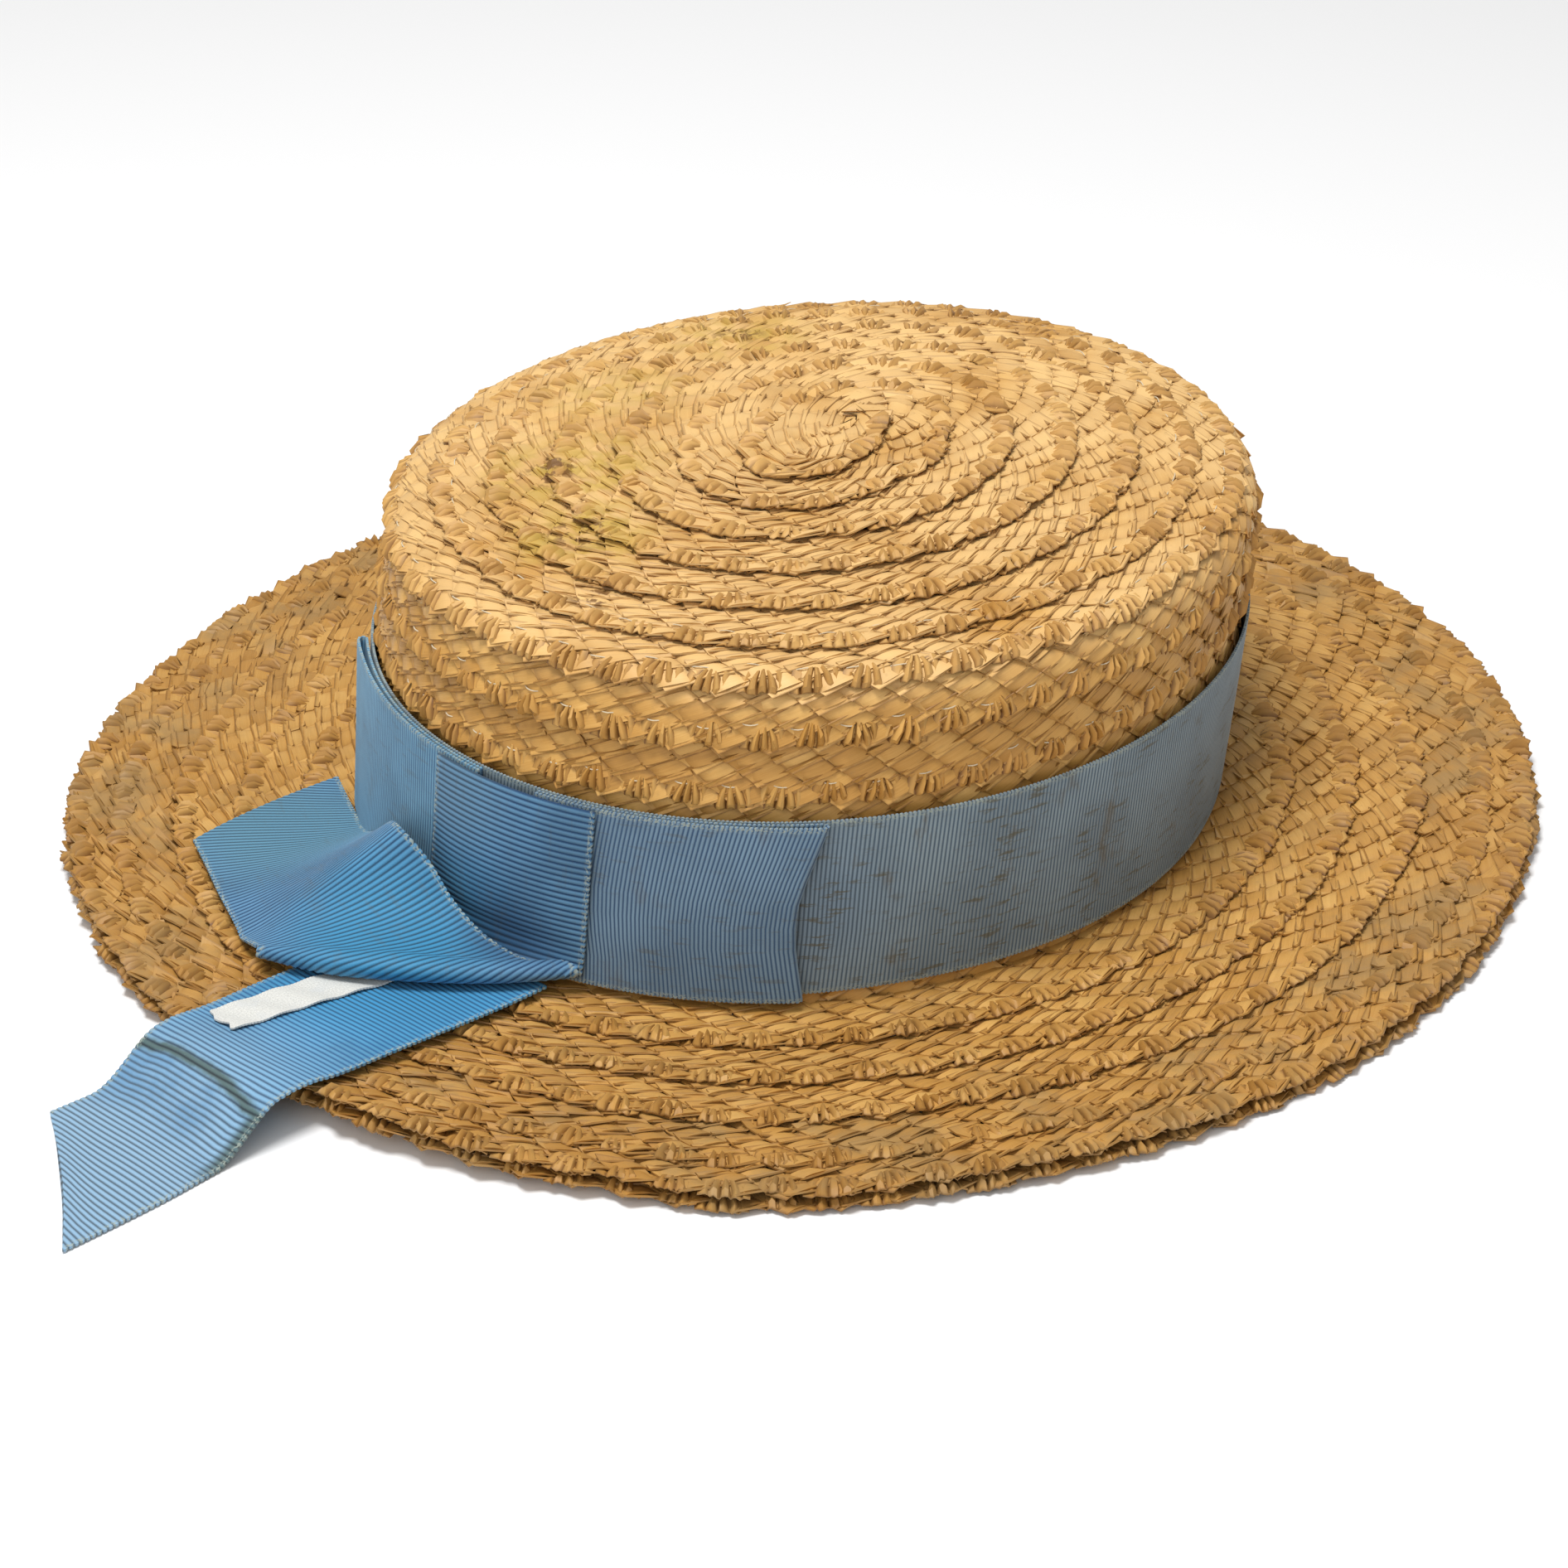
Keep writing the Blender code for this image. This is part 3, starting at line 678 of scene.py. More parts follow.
def on_band(turn, stand, height):
    """Points at these turns in degrees, standing this far off the band's outside, at these heights."""
    turn, stand, height = np.broadcast_arrays(turn, stand, height)
    x, y = oval(BAND_OUTSIDE + stand, np.radians(turn), *leaned(height))
    return np.stack([x, y, height], -1)


print("band's outside at the front:", np.round(on_band(-90.0, 0.0, BAND_FOOT), 4))

# %% [markdown]
# ## The band
# The band is one ribbon round the crown, and its ends meet under the knot. A tube would have no
# ends and no selvedge, so it is bent as the other ribbons are. Its lower edge stands off the crown
# and rises and falls by a fraction of a millimetre, as a sewn ribbon's does.

# %% Band
LEVELS = np.linspace(0.0, 1.0, 9)  # shares of the ribbon's width, from its lower edge
HEIGHTS = BAND_FOOT + LEVELS * RIBBON_WIDTH
KNOT_TURN = 78.4  # degrees round the crown to where the band's ends meet
BAND_EASE = 0.30 * MM
BAND_DROP = 0.5 * MM
band_turns = np.linspace(KNOT_TURN, KNOT_TURN + 360.0, 181)
band_rows = []
for turn in band_turns:
    ease = BAND_EASE * math.sin(math.radians(turn) * 5) * (1 - LEVELS) ** 2
    drop = BAND_DROP * math.sin(math.radians(turn) * 3 + 0.6)
    band_rows.append(on_band(turn, -RIBBON_THICK / 2 + ease, HEIGHTS + drop * (1 - LEVELS)))
band_mesh = ribbon_mesh("band", band_rows, FINE_RIB, 4)
print("band:", len(band_mesh.polygons), "faces")

# %% [markdown]
# ## The bow's loops
# Each loop of the flat bow is a ribbon that runs out along the band, turns back on itself and
# returns under the knot. Two flat layers would do for the right one, but the left one stands open
# at its end. So one function makes both: the layers part towards the fold by stand_off, the end
# waves, and the ribbon is pinched where the knot holds it.

# %% Loops
LOOP_FOLD = 0.02  # share of the way at which the round fold starts


def loop_rows(start, end, stand_off, foot_share, end_wave, pinch):
    """Out along the band, round the fold and back over itself: LEVELS across."""
    rows = []
    fold = np.linspace(-LOOP_FOLD, LOOP_FOLD, 9)
    for place in np.concatenate([np.linspace(-1, -0.03, 34), fold, np.linspace(0.03, 1, 34)]):
        share = 1 - abs(place)
        bend = math.sqrt(max(0.0, 1 - (1 - min(abs(place) / LOOP_FOLD, 1.0)) ** 2))
        stop = end + np.interp(LEVELS, *end_wave)
        turn = start + (stop - start) * share
        near = math.exp(-share * 3.0)
        turn = turn + np.interp(LEVELS, *pinch) * near * min(share * 12, 1.0)
        opened = stand_off * share**3 * (foot_share + (1 - foot_share) * LEVELS)
        middle = 1.5 * LAYER - RIBBON_THICK / 2 + opened * 0.62
        half = (LAYER / 2 + opened * 0.38) * bend * (1 if place > 0 else -1)
        rows.append(on_band(turn, middle + half, HEIGHTS))
    return rows


# Each wave or pinch is heights over the ribbon's width and the degrees that they move by.
RIGHT_END_WAVE = ((0.0, 0.25, 0.45, 0.62, 0.80, 1.0), (-1.0, -2.2, -2.7, -2.3, -1.2, 0.1))
RIGHT_PINCH = ((0.0, 0.12, 0.28, 0.5, 0.8, 1.0), (1.3, 1.5, 0.2, -0.9, -0.3, 0.0))
right_rows = loop_rows(KNOT_TURN + 6.0, 121.0, 1.1 * MM, 0.8, RIGHT_END_WAVE, RIGHT_PINCH)
LEFT_END_WAVE = ((0.0, 0.5, 1.0), (0.0, 0.6, 0.0))
left_rows = loop_rows(KNOT_TURN - 3.0, 36.0, 1.2 * MM, 0.25, LEFT_END_WAVE, LEFT_END_WAVE)
right_mesh = ribbon_mesh("loop_right", right_rows, FINE_RIB, 8)
left_mesh = ribbon_mesh("loop_left", left_rows, FINE_RIB, 8)
print("loops:", len(right_mesh.polygons), "and", len(left_mesh.polygons), "faces")

# %% [markdown]
# ## The brim under the tails
# The knot and both tails lie on the brim, whose height and outline wave. A ray cast on its mesh
# would catch every strand, so the height comes from the brim's own formula instead: its reach and
# turn under a point are found by halving.

# %% Lie on the brim
BRIM_TOP = 3.2 * MM  # the braid's top over the brim's underside
HALVINGS = 26


def brim_below(x, y):
    """Height of the brim's top under these plan points, and their share of the way to its edge."""
    low = np.full(np.shape(x), CROWN_REACH * 0.8)
    high = np.full(np.shape(x), BRIM_REACH * 1.6)
    for _ in range(HALVINGS):
        reach = (low + high) / 2
        out = np.maximum((reach - CROWN_REACH) / (BRIM_REACH - CROWN_REACH), 0.0)
        dx = x - BRIM_SHIFT.x * out
        dy = y - BRIM_SHIFT.y * out
        turn = np.arctan2(dy / (LONG_HALF + reach), dx / reach)
        whole = reach + wave(turn)[1] * out * out
        outside = (dx / whole) ** 2 + (dy / (LONG_HALF + whole)) ** 2 > 1
        low = np.where(outside, reach, low)
        high = np.where(outside, high, reach)
    return on_brim(reach, turn, BRIM_TOP)[..., 2], out


def laid(x, y, layers):
    """Points of a ribbon's middle that lies on the brim with this many millimetres of cloth below it."""
    x, y = np.asarray(x, float), np.asarray(y, float)
    height, _ = brim_below(x, y)
    return np.stack([x, y, height + GAP + RIBBON_THICK / 2 + layers * MM], -1)


print("height of a ribbon on the brim behind the knot:", laid([0.03], [0.12], 0.0)[0, 2].round(4))

# %% [markdown]
# ## The knot, its flap and the short tail
# One ribbon makes all three. It comes down over the knot, turns out at the crown's foot, goes over
# the long tail, folds back over itself as a flap that stands up at one edge, and ends on the brim
# as the short tail. Its rows follow that way: down the wall, round the bend, out to the fold line,
# round the fold, over the flap's ridge, and along the tail.

# %% Knot, flap and short tail
ACROSS = np.linspace(0.0, 1.0, 9)  # from the knot's right edge to its left
KNOT_RIGHT = 93.2
KNOT_LEFT = 68.6
FOLD_LINE = np.array(((-4.5, 101.0), (9.0, 111.0), (23.0, 118.6), (37.0, 124.2), (51.5, 125.8))) * MM
FOLD_OPEN = np.array((2.2, 3.2, 4.2, 4.0, 1.8)) * MM
OVER_TAIL = 2.0  # mm of cloth under the knot's ribbon where it crosses the long tail
KNOT_HOLLOW = 0.9 * MM
FOOT_RISE = 6.5 * MM  # where the ribbon starts to turn out
FOOT_OUT = 5 * MM
FLAP_BULGE = 1.5 * MM
FLAP_SHARES = (0.20, 0.42, 0.64, 0.83)  # of the way from the fold to the ridge
LEAST_STEP = 0.02 * MM


def blend(first, last, share):
    return first + (last - first) * share


knot_turns = blend(KNOT_RIGHT, KNOT_LEFT, ACROSS)
knot_stand = 2.5 * LAYER + RIBBON_THICK / 2
knot_rows = []
for share in np.linspace(0.0, 1.0, 8):
    hollow = KNOT_HOLLOW * math.sin(math.pi * share) * np.sin(math.pi * ACROSS)
    height = blend(BAND_FOOT + RIBBON_WIDTH, BAND_FOOT + FOOT_RISE, share)
    knot_rows.append(on_band(knot_turns, knot_stand + hollow, height))
wall_rows = len(knot_rows)
foot = on_band(knot_turns, knot_stand, BAND_FOOT)
foot = laid(foot[:, 0], foot[:, 1], OVER_TAIL)
spread = np.linspace(0.0, 1.0, len(FOLD_LINE))
fold_plan = curve(spread, FOLD_LINE[:, None], ACROSS)[:, 0]
fold_open = np.interp(ACROSS, spread, FOLD_OPEN)[:, None]
folds = laid(fold_plan[:, 0], fold_plan[:, 1], OVER_TAIL)
way = folds - foot
reach = np.linalg.norm(way, axis=1)[:, None]
for bend in (0.4, 0.75, 1.0):
    out = foot + way * np.minimum(0.6, FOOT_OUT / reach)
    knot_rows.append(blend(blend(knot_rows[wall_rows - 1], foot, bend), blend(foot, out, bend), bend))
start = knot_rows[-1]
for share in (0.33, 0.66, 1.0):
    knot_rows.append(laid(*blend(start, folds, share)[:, :2].T, OVER_TAIL))
fold_way = np.gradient(fold_plan, axis=0)
fold_out = np.column_stack([-fold_way[:, 1], fold_way[:, 0], np.zeros(len(ACROSS))])
fold_out /= np.linalg.norm(fold_out, axis=1)[:, None]
up = np.array((0.0, 0.0, 1.0))
for angle in (45, 90, 135, 180):
    bulge = fold_out * math.sin(math.radians(angle)) + up * (1 - math.cos(math.radians(angle)))
    knot_rows.append(folds + bulge * fold_open / 2)
upper = knot_rows[-1]
fold_rows = len(knot_rows) - 3  # the row at the fold's outermost line

FLAP_EDGE = MM * np.array(
    ((3.8, 103.6, 8.3), (13.7, 103.2, 10.5), (22.9, 101.0, 15.5), (28.9, 99.3, 21.6)),
)
SHORT_TAIL = (
    # right and left ends of each row in mm, and the right end's height over the brim in mm
    ((35.8, 98.2), (60.3, 119.0), 22.6), ((39.4, 95.0), (62.7, 116.6), 21.4),
    ((45.5, 89.2), (68.3, 111.5), 16.2), ((53.8, 81.0), (74.8, 105.8), 8.6),
    ((61.5, 72.8), (81.6, 99.4), 3.0), ((71.5, 62.3), (92.4, 89.6), 0.8),
    ((86.0, 47.8), (106.0, 77.0), 0.0),
)
SHORT_CUT = (70.8 * MM, 42.0 * MM)  # lengths of its right and left edges past the ridge
tail_rows = []
for right, left, lift in SHORT_TAIL:
    flat = laid(blend(right[0], left[0], ACROSS) * MM, blend(right[1], left[1], ACROSS) * MM, 0.0)
    flat[:, 2] += lift * MM * (1 - ACROSS) ** 1.15
    tail_rows.append(flat)
ridge = tail_rows[0]
for share, edge in zip(FLAP_SHARES, FLAP_EDGE):
    row = blend(upper, ridge, share)
    row[:, 2] += FLAP_BULGE * math.sin(math.pi * share) * np.sin(math.pi * ACROSS)
    knot_rows.append(row + (edge - row[0]) * ((1 - ACROSS) ** 1.5)[:, None])
knot_rows += tail_rows
knot_rows = np.array(knot_rows)
steps = np.linalg.norm(np.diff(knot_rows, axis=0), axis=2)
from_top = np.concatenate([np.zeros((1, len(ACROSS))), np.cumsum(steps, axis=0)])
ridge_row = len(knot_rows) - len(tail_rows)
RIDGE_AT = 86.0 * MM  # length of ribbon from the knot's top to the flap's ridge
knot_knots = from_top - from_top[ridge_row] + RIDGE_AT
for row in range(fold_rows):
    share = max(0.0, (row - wall_rows + 1) / (fold_rows - wall_rows + 1))
    knot_knots[row] = blend(from_top[row], knot_knots[row], share)
print("ribbon length from the knot's top to each fold point:", np.round(knot_knots[fold_rows], 4))
knot_knots = np.maximum.accumulate(knot_knots, axis=0)
knot_knots = knot_knots + np.arange(len(knot_knots))[:, None] * LEAST_STEP
knot_mesh = ribbon_mesh(
    "knot", knot_rows, WIDE_RIB, 36, raised=0.15 * MM, sway=0.15 * MM, knots=knot_knots,
    cut=(RIDGE_AT + SHORT_CUT[0], RIDGE_AT + SHORT_CUT[1]),
)

# %% [markdown]
# ## The long tail
# The long tail comes from under the knot, lies on the brim, passes its edge and hangs to the floor.
# Each of its rows is placed on a straight line in plan, and its height is the brim's, then level
# with a small swell past the edge, then eased down to the floor. A slanting cut ends it.

# %% Long tail
TAIL_HEADING = math.radians(73)
TAIL_ROOT = np.array((16.7, 92.5)) * MM
TAIL_AHEAD = np.array((math.cos(TAIL_HEADING), math.sin(TAIL_HEADING)))
TAIL_SIDE = np.array((TAIL_AHEAD[1], -TAIL_AHEAD[0]))
TAIL_SWELL, SWELL_AT, SWELL_LONG = 0.9 * MM, 4 * MM, 6 * MM  # past the brim's edge
FALL_AT, FALL_LONG = 7 * MM, 16 * MM
END_HOLLOW, HOLLOW_LONG = 2.2 * MM, 7 * MM  # the cut end curves in between its corners
TAIL_NARROW, NARROW_AT, NARROW_LONG = 0.05, 84 * MM, 12 * MM
TAIL_BOW = -1.2 * MM  # how far its middle stands to one side


def on_tail(along, side):
    """Points of the long tail: on the brim, level past its edge, then down to the floor."""
    plan = TAIL_ROOT + along[:, None] * TAIL_AHEAD + side[:, None] * TAIL_SIDE
    steps = np.linspace(20, 110, 91) * MM
    reach = TAIL_ROOT + steps[None, :, None] * TAIL_AHEAD + side[:, None, None] * TAIL_SIDE
    _, out = brim_below(reach[..., 0], reach[..., 1])
    edge = steps[np.argmax(out >= 1.0, axis=1)]
    kept = TAIL_ROOT + np.minimum(along, edge)[:, None] * TAIL_AHEAD + side[:, None] * TAIL_SIDE
    level = brim_below(kept[:, 0], kept[:, 1])[0] + GAP + RIBBON_THICK / 2
    past = along - edge
    swell = TAIL_SWELL * np.exp(-(((past - SWELL_AT) / SWELL_LONG) ** 2))
    fall = smooth((past - FALL_AT) / FALL_LONG)
    return np.column_stack([plan, level + swell + (GAP + RIBBON_THICK / 2 - level - swell) * fall])


tail_side = (ACROSS - 0.5) * RIBBON_WIDTH
TAIL_FROM, TAIL_RIGHT, TAIL_LEFT = 6.5 * MM, 124.0 * MM, 99.0 * MM
long_rows = []
for along in np.linspace(TAIL_FROM, TAIL_RIGHT, 48):
    near_end = np.exp(-(((along - blend(TAIL_RIGHT, TAIL_LEFT, ACROSS)) / HOLLOW_LONG) ** 2))
    shown = along - END_HOLLOW * np.sin(math.pi * ACROSS) * near_end
    narrow = 1 - TAIL_NARROW * math.exp(-(((along - NARROW_AT) / NARROW_LONG) ** 2))
    bow = TAIL_BOW * math.sin(math.pi * along / TAIL_RIGHT)
    long_rows.append(on_tail(shown, tail_side * narrow + bow))
long_mesh = ribbon_mesh(
    "long_tail", long_rows, WIDE_RIB, 12, raised=0.14 * MM, sway=0.3 * MM,
    cut=(TAIL_RIGHT - TAIL_FROM, TAIL_LEFT - TAIL_FROM),
)

print("long tail:", len(long_mesh.polygons), "faces")

# %% [markdown]
# ## The tape
# A short white cotton tape is sewn on the long tail and goes under the fold. It is a ribbon with
# hardly any ribs, laid by the tail's own function a little above it. Its torn end is made by
# moving the last row's points on or back by FRAY.

# %% Tape
TAPE_WIDTH, TAPE_LONG = 9.0, 42  # in mm
TAPE_END = np.array((44.5, 149.0)) * MM
TAPE_HEADING = math.radians(65)
TAPE_AHEAD = np.array((math.cos(TAPE_HEADING), math.sin(TAPE_HEADING)))
TAPE_BESIDE = np.array((TAPE_AHEAD[1], -TAPE_AHEAD[0]))
FRAY = np.array((0.2, 1.1, -0.5, 0.9, -0.3, 1.3, 0.1, 0.9, -0.4))  # threads past the tape's end, in mm
tape_rows = []
for share in np.linspace(1.0, 0.0, 29):
    plan = TAPE_END - TAPE_AHEAD * TAPE_LONG * MM * share
    plan = plan + TAPE_BESIDE * ((ACROSS[:, None] - 0.5) * TAPE_WIDTH * MM)
    local = plan - TAIL_ROOT
    row = on_tail(local @ TAIL_AHEAD, local @ TAIL_SIDE)
    row[:, 2] += RIBBON_THICK / 2 + GAP + 0.25 * MM + 0.18 * MM * np.sin(share * 31 + ACROSS * 4)
    row[:, :2] += TAPE_AHEAD * (FRAY * MM * max(0.0, 1 - share * 28))[:, None] if share < 0.03 else 0.0
    tape_rows.append(row)
tape_mesh = ribbon_mesh("tape", tape_rows, 0.7 * MM, 6, 0.35 * MM, 0.03 * MM, 0.2 * MM, 0.12 * MM)
print("tape:", len(tape_mesh.polygons), "faces")

# %% [markdown]
# ## Shader maths in Python
# A material is easier to read as a formula. Wire wraps an output socket, so that an expression such
# as 1 - mask * 0.4 adds the Math nodes for it, and its node method makes any other node.


# %% Wire
class Wire:
    """An output socket of a material, which Python's operators combine into Math nodes."""

    def __init__(self, tree, socket=None):
        self.tree, self.socket = tree, socket

    def node(self, kind, inputs=None, out=0, stops=None, **settings):
        made = self.tree.nodes.new(kind)
        for key, value in settings.items():
            setattr(made, key, value)
        if stops:
            ramp = made.color_ramp
            while len(ramp.elements) < len(stops):
                ramp.elements.new(0.5)
            for element, (place, colour) in zip(ramp.elements, stops):
                element.position = place
                element.color = (*colour, 1.0)
        for key, value in (inputs or {}).items():
            if isinstance(value, Wire):
                self.tree.links.new(value.socket, made.inputs[key])
            else:
                made.inputs[key].default_value = value
        return Wire(self.tree, made.outputs[out])

    def maths(self, operation, first, second=0.0):
        return self.node("ShaderNodeMath", {0: first, 1: second}, operation=operation)

    def __add__(self, other):
        return self.maths("ADD", self, other)

    def __sub__(self, other):
        return self.maths("SUBTRACT", self, other)

    def __rsub__(self, other):
        return self.maths("SUBTRACT", other, self)

    def __mul__(self, other):
        return self.maths("MULTIPLY", self, other)

    __radd__ = __add__
    __rmul__ = __mul__

    def between(self, low, high):
        """0 below low and 1 above high, smoothly between."""
        return self.node("ShaderNodeMapRange", {0: self, 1: low, 2: high}, interpolation_type="SMOOTHSTEP")

    def mix(self, first, second):
        """first where this value is 0 and second where it is 1, as colours."""
        first, second = ((*c, 1.0) if isinstance(c, tuple) else c for c in (first, second))
        return self.node("ShaderNodeMix", {0: self, 6: first, 7: second}, out=2, data_type="RGBA")

    def noise(self, place, scale, detail=2.0, rough=0.5):
        inputs = {"Vector": place, "Scale": scale, "Detail": detail, "Roughness": rough}
        return self.node("ShaderNodeTexNoise", inputs)

    def stretch(self, place, scale):
        return self.node("ShaderNodeMapping", {"Vector": place, "Scale": scale})

    def axis(self, number):
        """One part of this vector."""
        return self.node("ShaderNodeSeparateXYZ", {0: self}, out=number)

    def absolute(self):
        return self.maths("ABSOLUTE", self)

    def attribute(self, name):
        return self.node("ShaderNodeAttribute", out="Fac", attribute_name=name)

    def uv(self, name):
        return self.node("ShaderNodeUVMap", uv_map=name)

    def place(self):
        """Object coordinates, which are the frame's own metres."""
        return self.node("ShaderNodeTexCoord", out="Object")


def new_material(name):
    """A material with its Principled shader: returns the material, a Wire on its tree, and the shader."""
    made = bpy.data.materials.new(name)
    made.use_nodes = True
    return made, Wire(made.node_tree), made.node_tree.nodes["Principled BSDF"]


def feed(shader, key, wire):
    wire.tree.links.new(wire.socket, shader.inputs[key])


print("a Wire has", sum(key.startswith("__r") for key in vars(Wire)), "reflected operators")

# %% [markdown]
# ## Straw
# Each strand is a split straw: fine lines run along it, and its tone differs from its neighbour's.
# Painted shade darkens it where it dips under another. A picture could give all that, but would not
# follow the strands. So the lines are noise stretched along the strand's own UV, the tone is an
# attribute, and the painted shade in the crevices comes from the crease UV and the height. The tip is
# paler in patches, partly bleached straw and partly a painted sheen of the light from above, with a
# few stains of a greener brown, and its split places are painted dark as the shade inside them. The
# brim's edge is grey with dirt.

# %% Straw
STRAW_DARK = (0.270, 0.125, 0.024)
STRAW_MIDDLE = (0.505, 0.258, 0.056)
STRAW_LIGHT = (0.735, 0.450, 0.140)
# the colour of painted shade in crevices and splits
CREVICE_SHADE = (0.130, 0.048, 0.009)
# paler straw for the tip: partly bleached, partly a painted sheen of the light from above
BLEACH_AND_SHEEN = (0.760, 0.525, 0.240)
STRAW_GREEN = (0.480, 0.315, 0.062)
STRAW_GREY = (0.290, 0.180, 0.068)


def blob(wires, place, centre, size):
    """1 at a place on the hat and 0 beyond size from it."""
    offset = wires.node("ShaderNodeVectorMath", {0: place, 1: Vector(centre) * MM}, operation="SUBTRACT")
    far = wires.node("ShaderNodeVectorMath", {0: offset}, out=1, operation="LENGTH")
    return 1 - far.between(size * 0.25 * MM, size * MM)


def straw(name, stains=(), gaps=(), grey=0.0, shade=0.0):
    made, wires, shader = new_material(name)
    place = wires.place()
    tone, lift, fold = (wires.attribute(key) for key in ("tone", "lift", "fold"))
    grain = wires.uv("grain")
    lines = wires.noise(wires.stretch(grain, (120, 4200, 1)), 1.0, 3.0, 0.6)
    soft = wires.noise(wires.stretch(grain, (60, 700, 1)), 1.0, 2.0, 0.5)
    clouds = wires.noise(place, 38.0, 3.0, 0.55)
    value = tone * 0.32 + lines * 0.35 + soft * 0.25 + clouds * 0.35 - 0.13
    colour = wires.node(
        "ShaderNodeValToRGB", {"Fac": value},
        stops=((0.10, STRAW_DARK), (0.45, STRAW_MIDDLE), (0.90, STRAW_LIGHT)),
    )
    height = place.axis(2)
    # the tip is paler in patches, less on the fans: bleached straw and a painted sheen of the light from
    # above
    bleach_and_sheen = height.between(0.062, 0.0725) * clouds.between(0.22, 0.58) * 0.56 * (1 - fold * 0.6)
    colour = bleach_and_sheen.mix(colour, BLEACH_AND_SHEEN)
    crease = wires.uv("crease")
    run = crease.axis(0)
    sides = crease.axis(1).absolute()
    # painted shade at the ends and sides of each lozenge, where it dips under its neighbours, and in the
    # fans' grooves
    crease_shade = wires.maths("MAXIMUM", run.absolute().between(0.86, 0.99), sides.between(0.93, 1.0) * 0.6)
    # painted shade on the lowest parts of the braid, under the rows that lap over them
    low = 1 - lift.between(-0.65, 0.25)
    # painted shade towards the end of each lozenge where it goes under its neighbour, and over the fans
    colour = (run.between(0.2, 1.0) * 0.18).mix(colour, STRAW_DARK)
    # how strong the painted crease shade is: stronger on the fans, weaker on the tip's top
    strength = (fold * 0.42 + 0.50) * (1 - height.between(0.066, 0.073) * 0.26)
    colour = (crease_shade * strength).mix(colour, CREVICE_SHADE)
    colour = (low * 0.40).mix(colour, CREVICE_SHADE)
    specks = wires.noise(place, 420.0, 2.0, 0.6).between(0.62, 0.80) * 0.35
    colour = specks.mix(colour, STRAW_GREY)
    for centre, size, strength in stains:
        cloudy = wires.noise(place, 160.0, 3.0).between(0.35, 0.65)
        colour = (blob(wires, place, centre, size) * cloudy * strength).mix(colour, STRAW_GREEN)
    # painted shade inside the worn splits
    for centre, size in gaps:
        ragged = wires.noise(place, 330.0, 3.0, 0.6).between(0.50, 0.58)
        colour = (blob(wires, place, centre, size) * ragged * 0.85).mix(colour, CREVICE_SHADE)
    if shade:
        inputs = {0: shade, 6: colour, 7: (*STRAW_DARK, 1.0)}
        colour = wires.node("ShaderNodeMix", inputs, out=2, data_type="RGBA")
    if grey:
        dirt = wires.noise(place, 70.0, 4.0, 0.65).between(0.42, 0.66) * grey
        colour = dirt.mix(colour, STRAW_GREY)
    feed(shader, "Base Color", colour)
    feed(shader, "Roughness", 0.62 - lines * 0.16)
    relief = {"Height": lines * 0.6 + soft * 0.4, "Strength": 0.5, "Distance": 0.12 * MM}
    bump = wires.node("ShaderNodeBump", relief)
    feed(shader, "Normal", bump)
    shader.inputs["Specular IOR Level"].default_value = 0.4
    return made


TIP_STAINS = (
    # place in the frame in mm, size in mm, strength
    ((38.5, 2.4, 77.4), 26, 0.9), ((22.2, 27.6, 76.7), 20, 1.0), ((42.5, -76.2, 76.4), 22, 0.8),
    ((50.0, -35.0, 76.0), 24, 0.5),
)
TIP_GAPS = (
    # worn places where the straw is split, painted dark as the shade inside: place in mm, size in mm
    ((23.0, 26.2, 76.0), 10), ((42.0, 5.0, 76.5), 9), ((42.4, -75.9, 76.0), 8), ((8.0, 47.0, 74.0), 8),
)
straw_crown = straw("straw", TIP_STAINS, TIP_GAPS)
straw_brim = straw("straw_brim", grey=0.22, shade=0.08)
straw_edge = straw("straw_edge", grey=0.62, shade=0.32)
print("nodes in the crown's straw:", len(straw_crown.node_tree.nodes))

# %% [markdown]
# ## Thread
# The sewing thread is pale and matt, and too thin for a pattern to show. Its shader has plain
# values only.

# %% Thread
thread_cloth, _, thread_shader = new_material("thread")
thread_shader.inputs["Base Color"].default_value = (0.58, 0.49, 0.34, 1.0)
thread_shader.inputs["Roughness"].default_value = 0.7
print("thread:", thread_cloth.name)

# %% [markdown]
# ## The braid's pieces
# A finished mesh is moved from the middle of the head opening to the frame's own origin, smoothed
# except over sharp folds and given its material, and the solid that it replaces is hidden. The crown
# is split into tip, shoulder and hidden foot, and the brim into inner and outer rings, so that no
# piece is too heavy. Under the band the braid isn't seen, so it has no fans there.

# %% Braid pieces
def add_piece(name, mesh, material, node=None, sharp=35):
    """Puts a finished mesh in the scene as a piece that rides on the hat."""
    mesh.transform(Matrix.Translation(-MIDDLE))
    mesh.name = name
    mesh.materials.clear()
    mesh.materials.append(material)
    mesh.shade_smooth()
    mesh.set_sharp_from_angle(angle=math.radians(sharp))
    piece = bpy.data.objects.new(name, mesh)
    bpy.context.scene.collection.objects.link(piece)
    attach(piece, "root")
    if node:
        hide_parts(node)
    return piece


def add_crown(name, first, last, half_rows, fans):
    """A stretch of the crown's spiral as a piece."""
    return add_piece(name, crown_rows(first, last, half_rows, fans), straw_crown, "straw_crown")


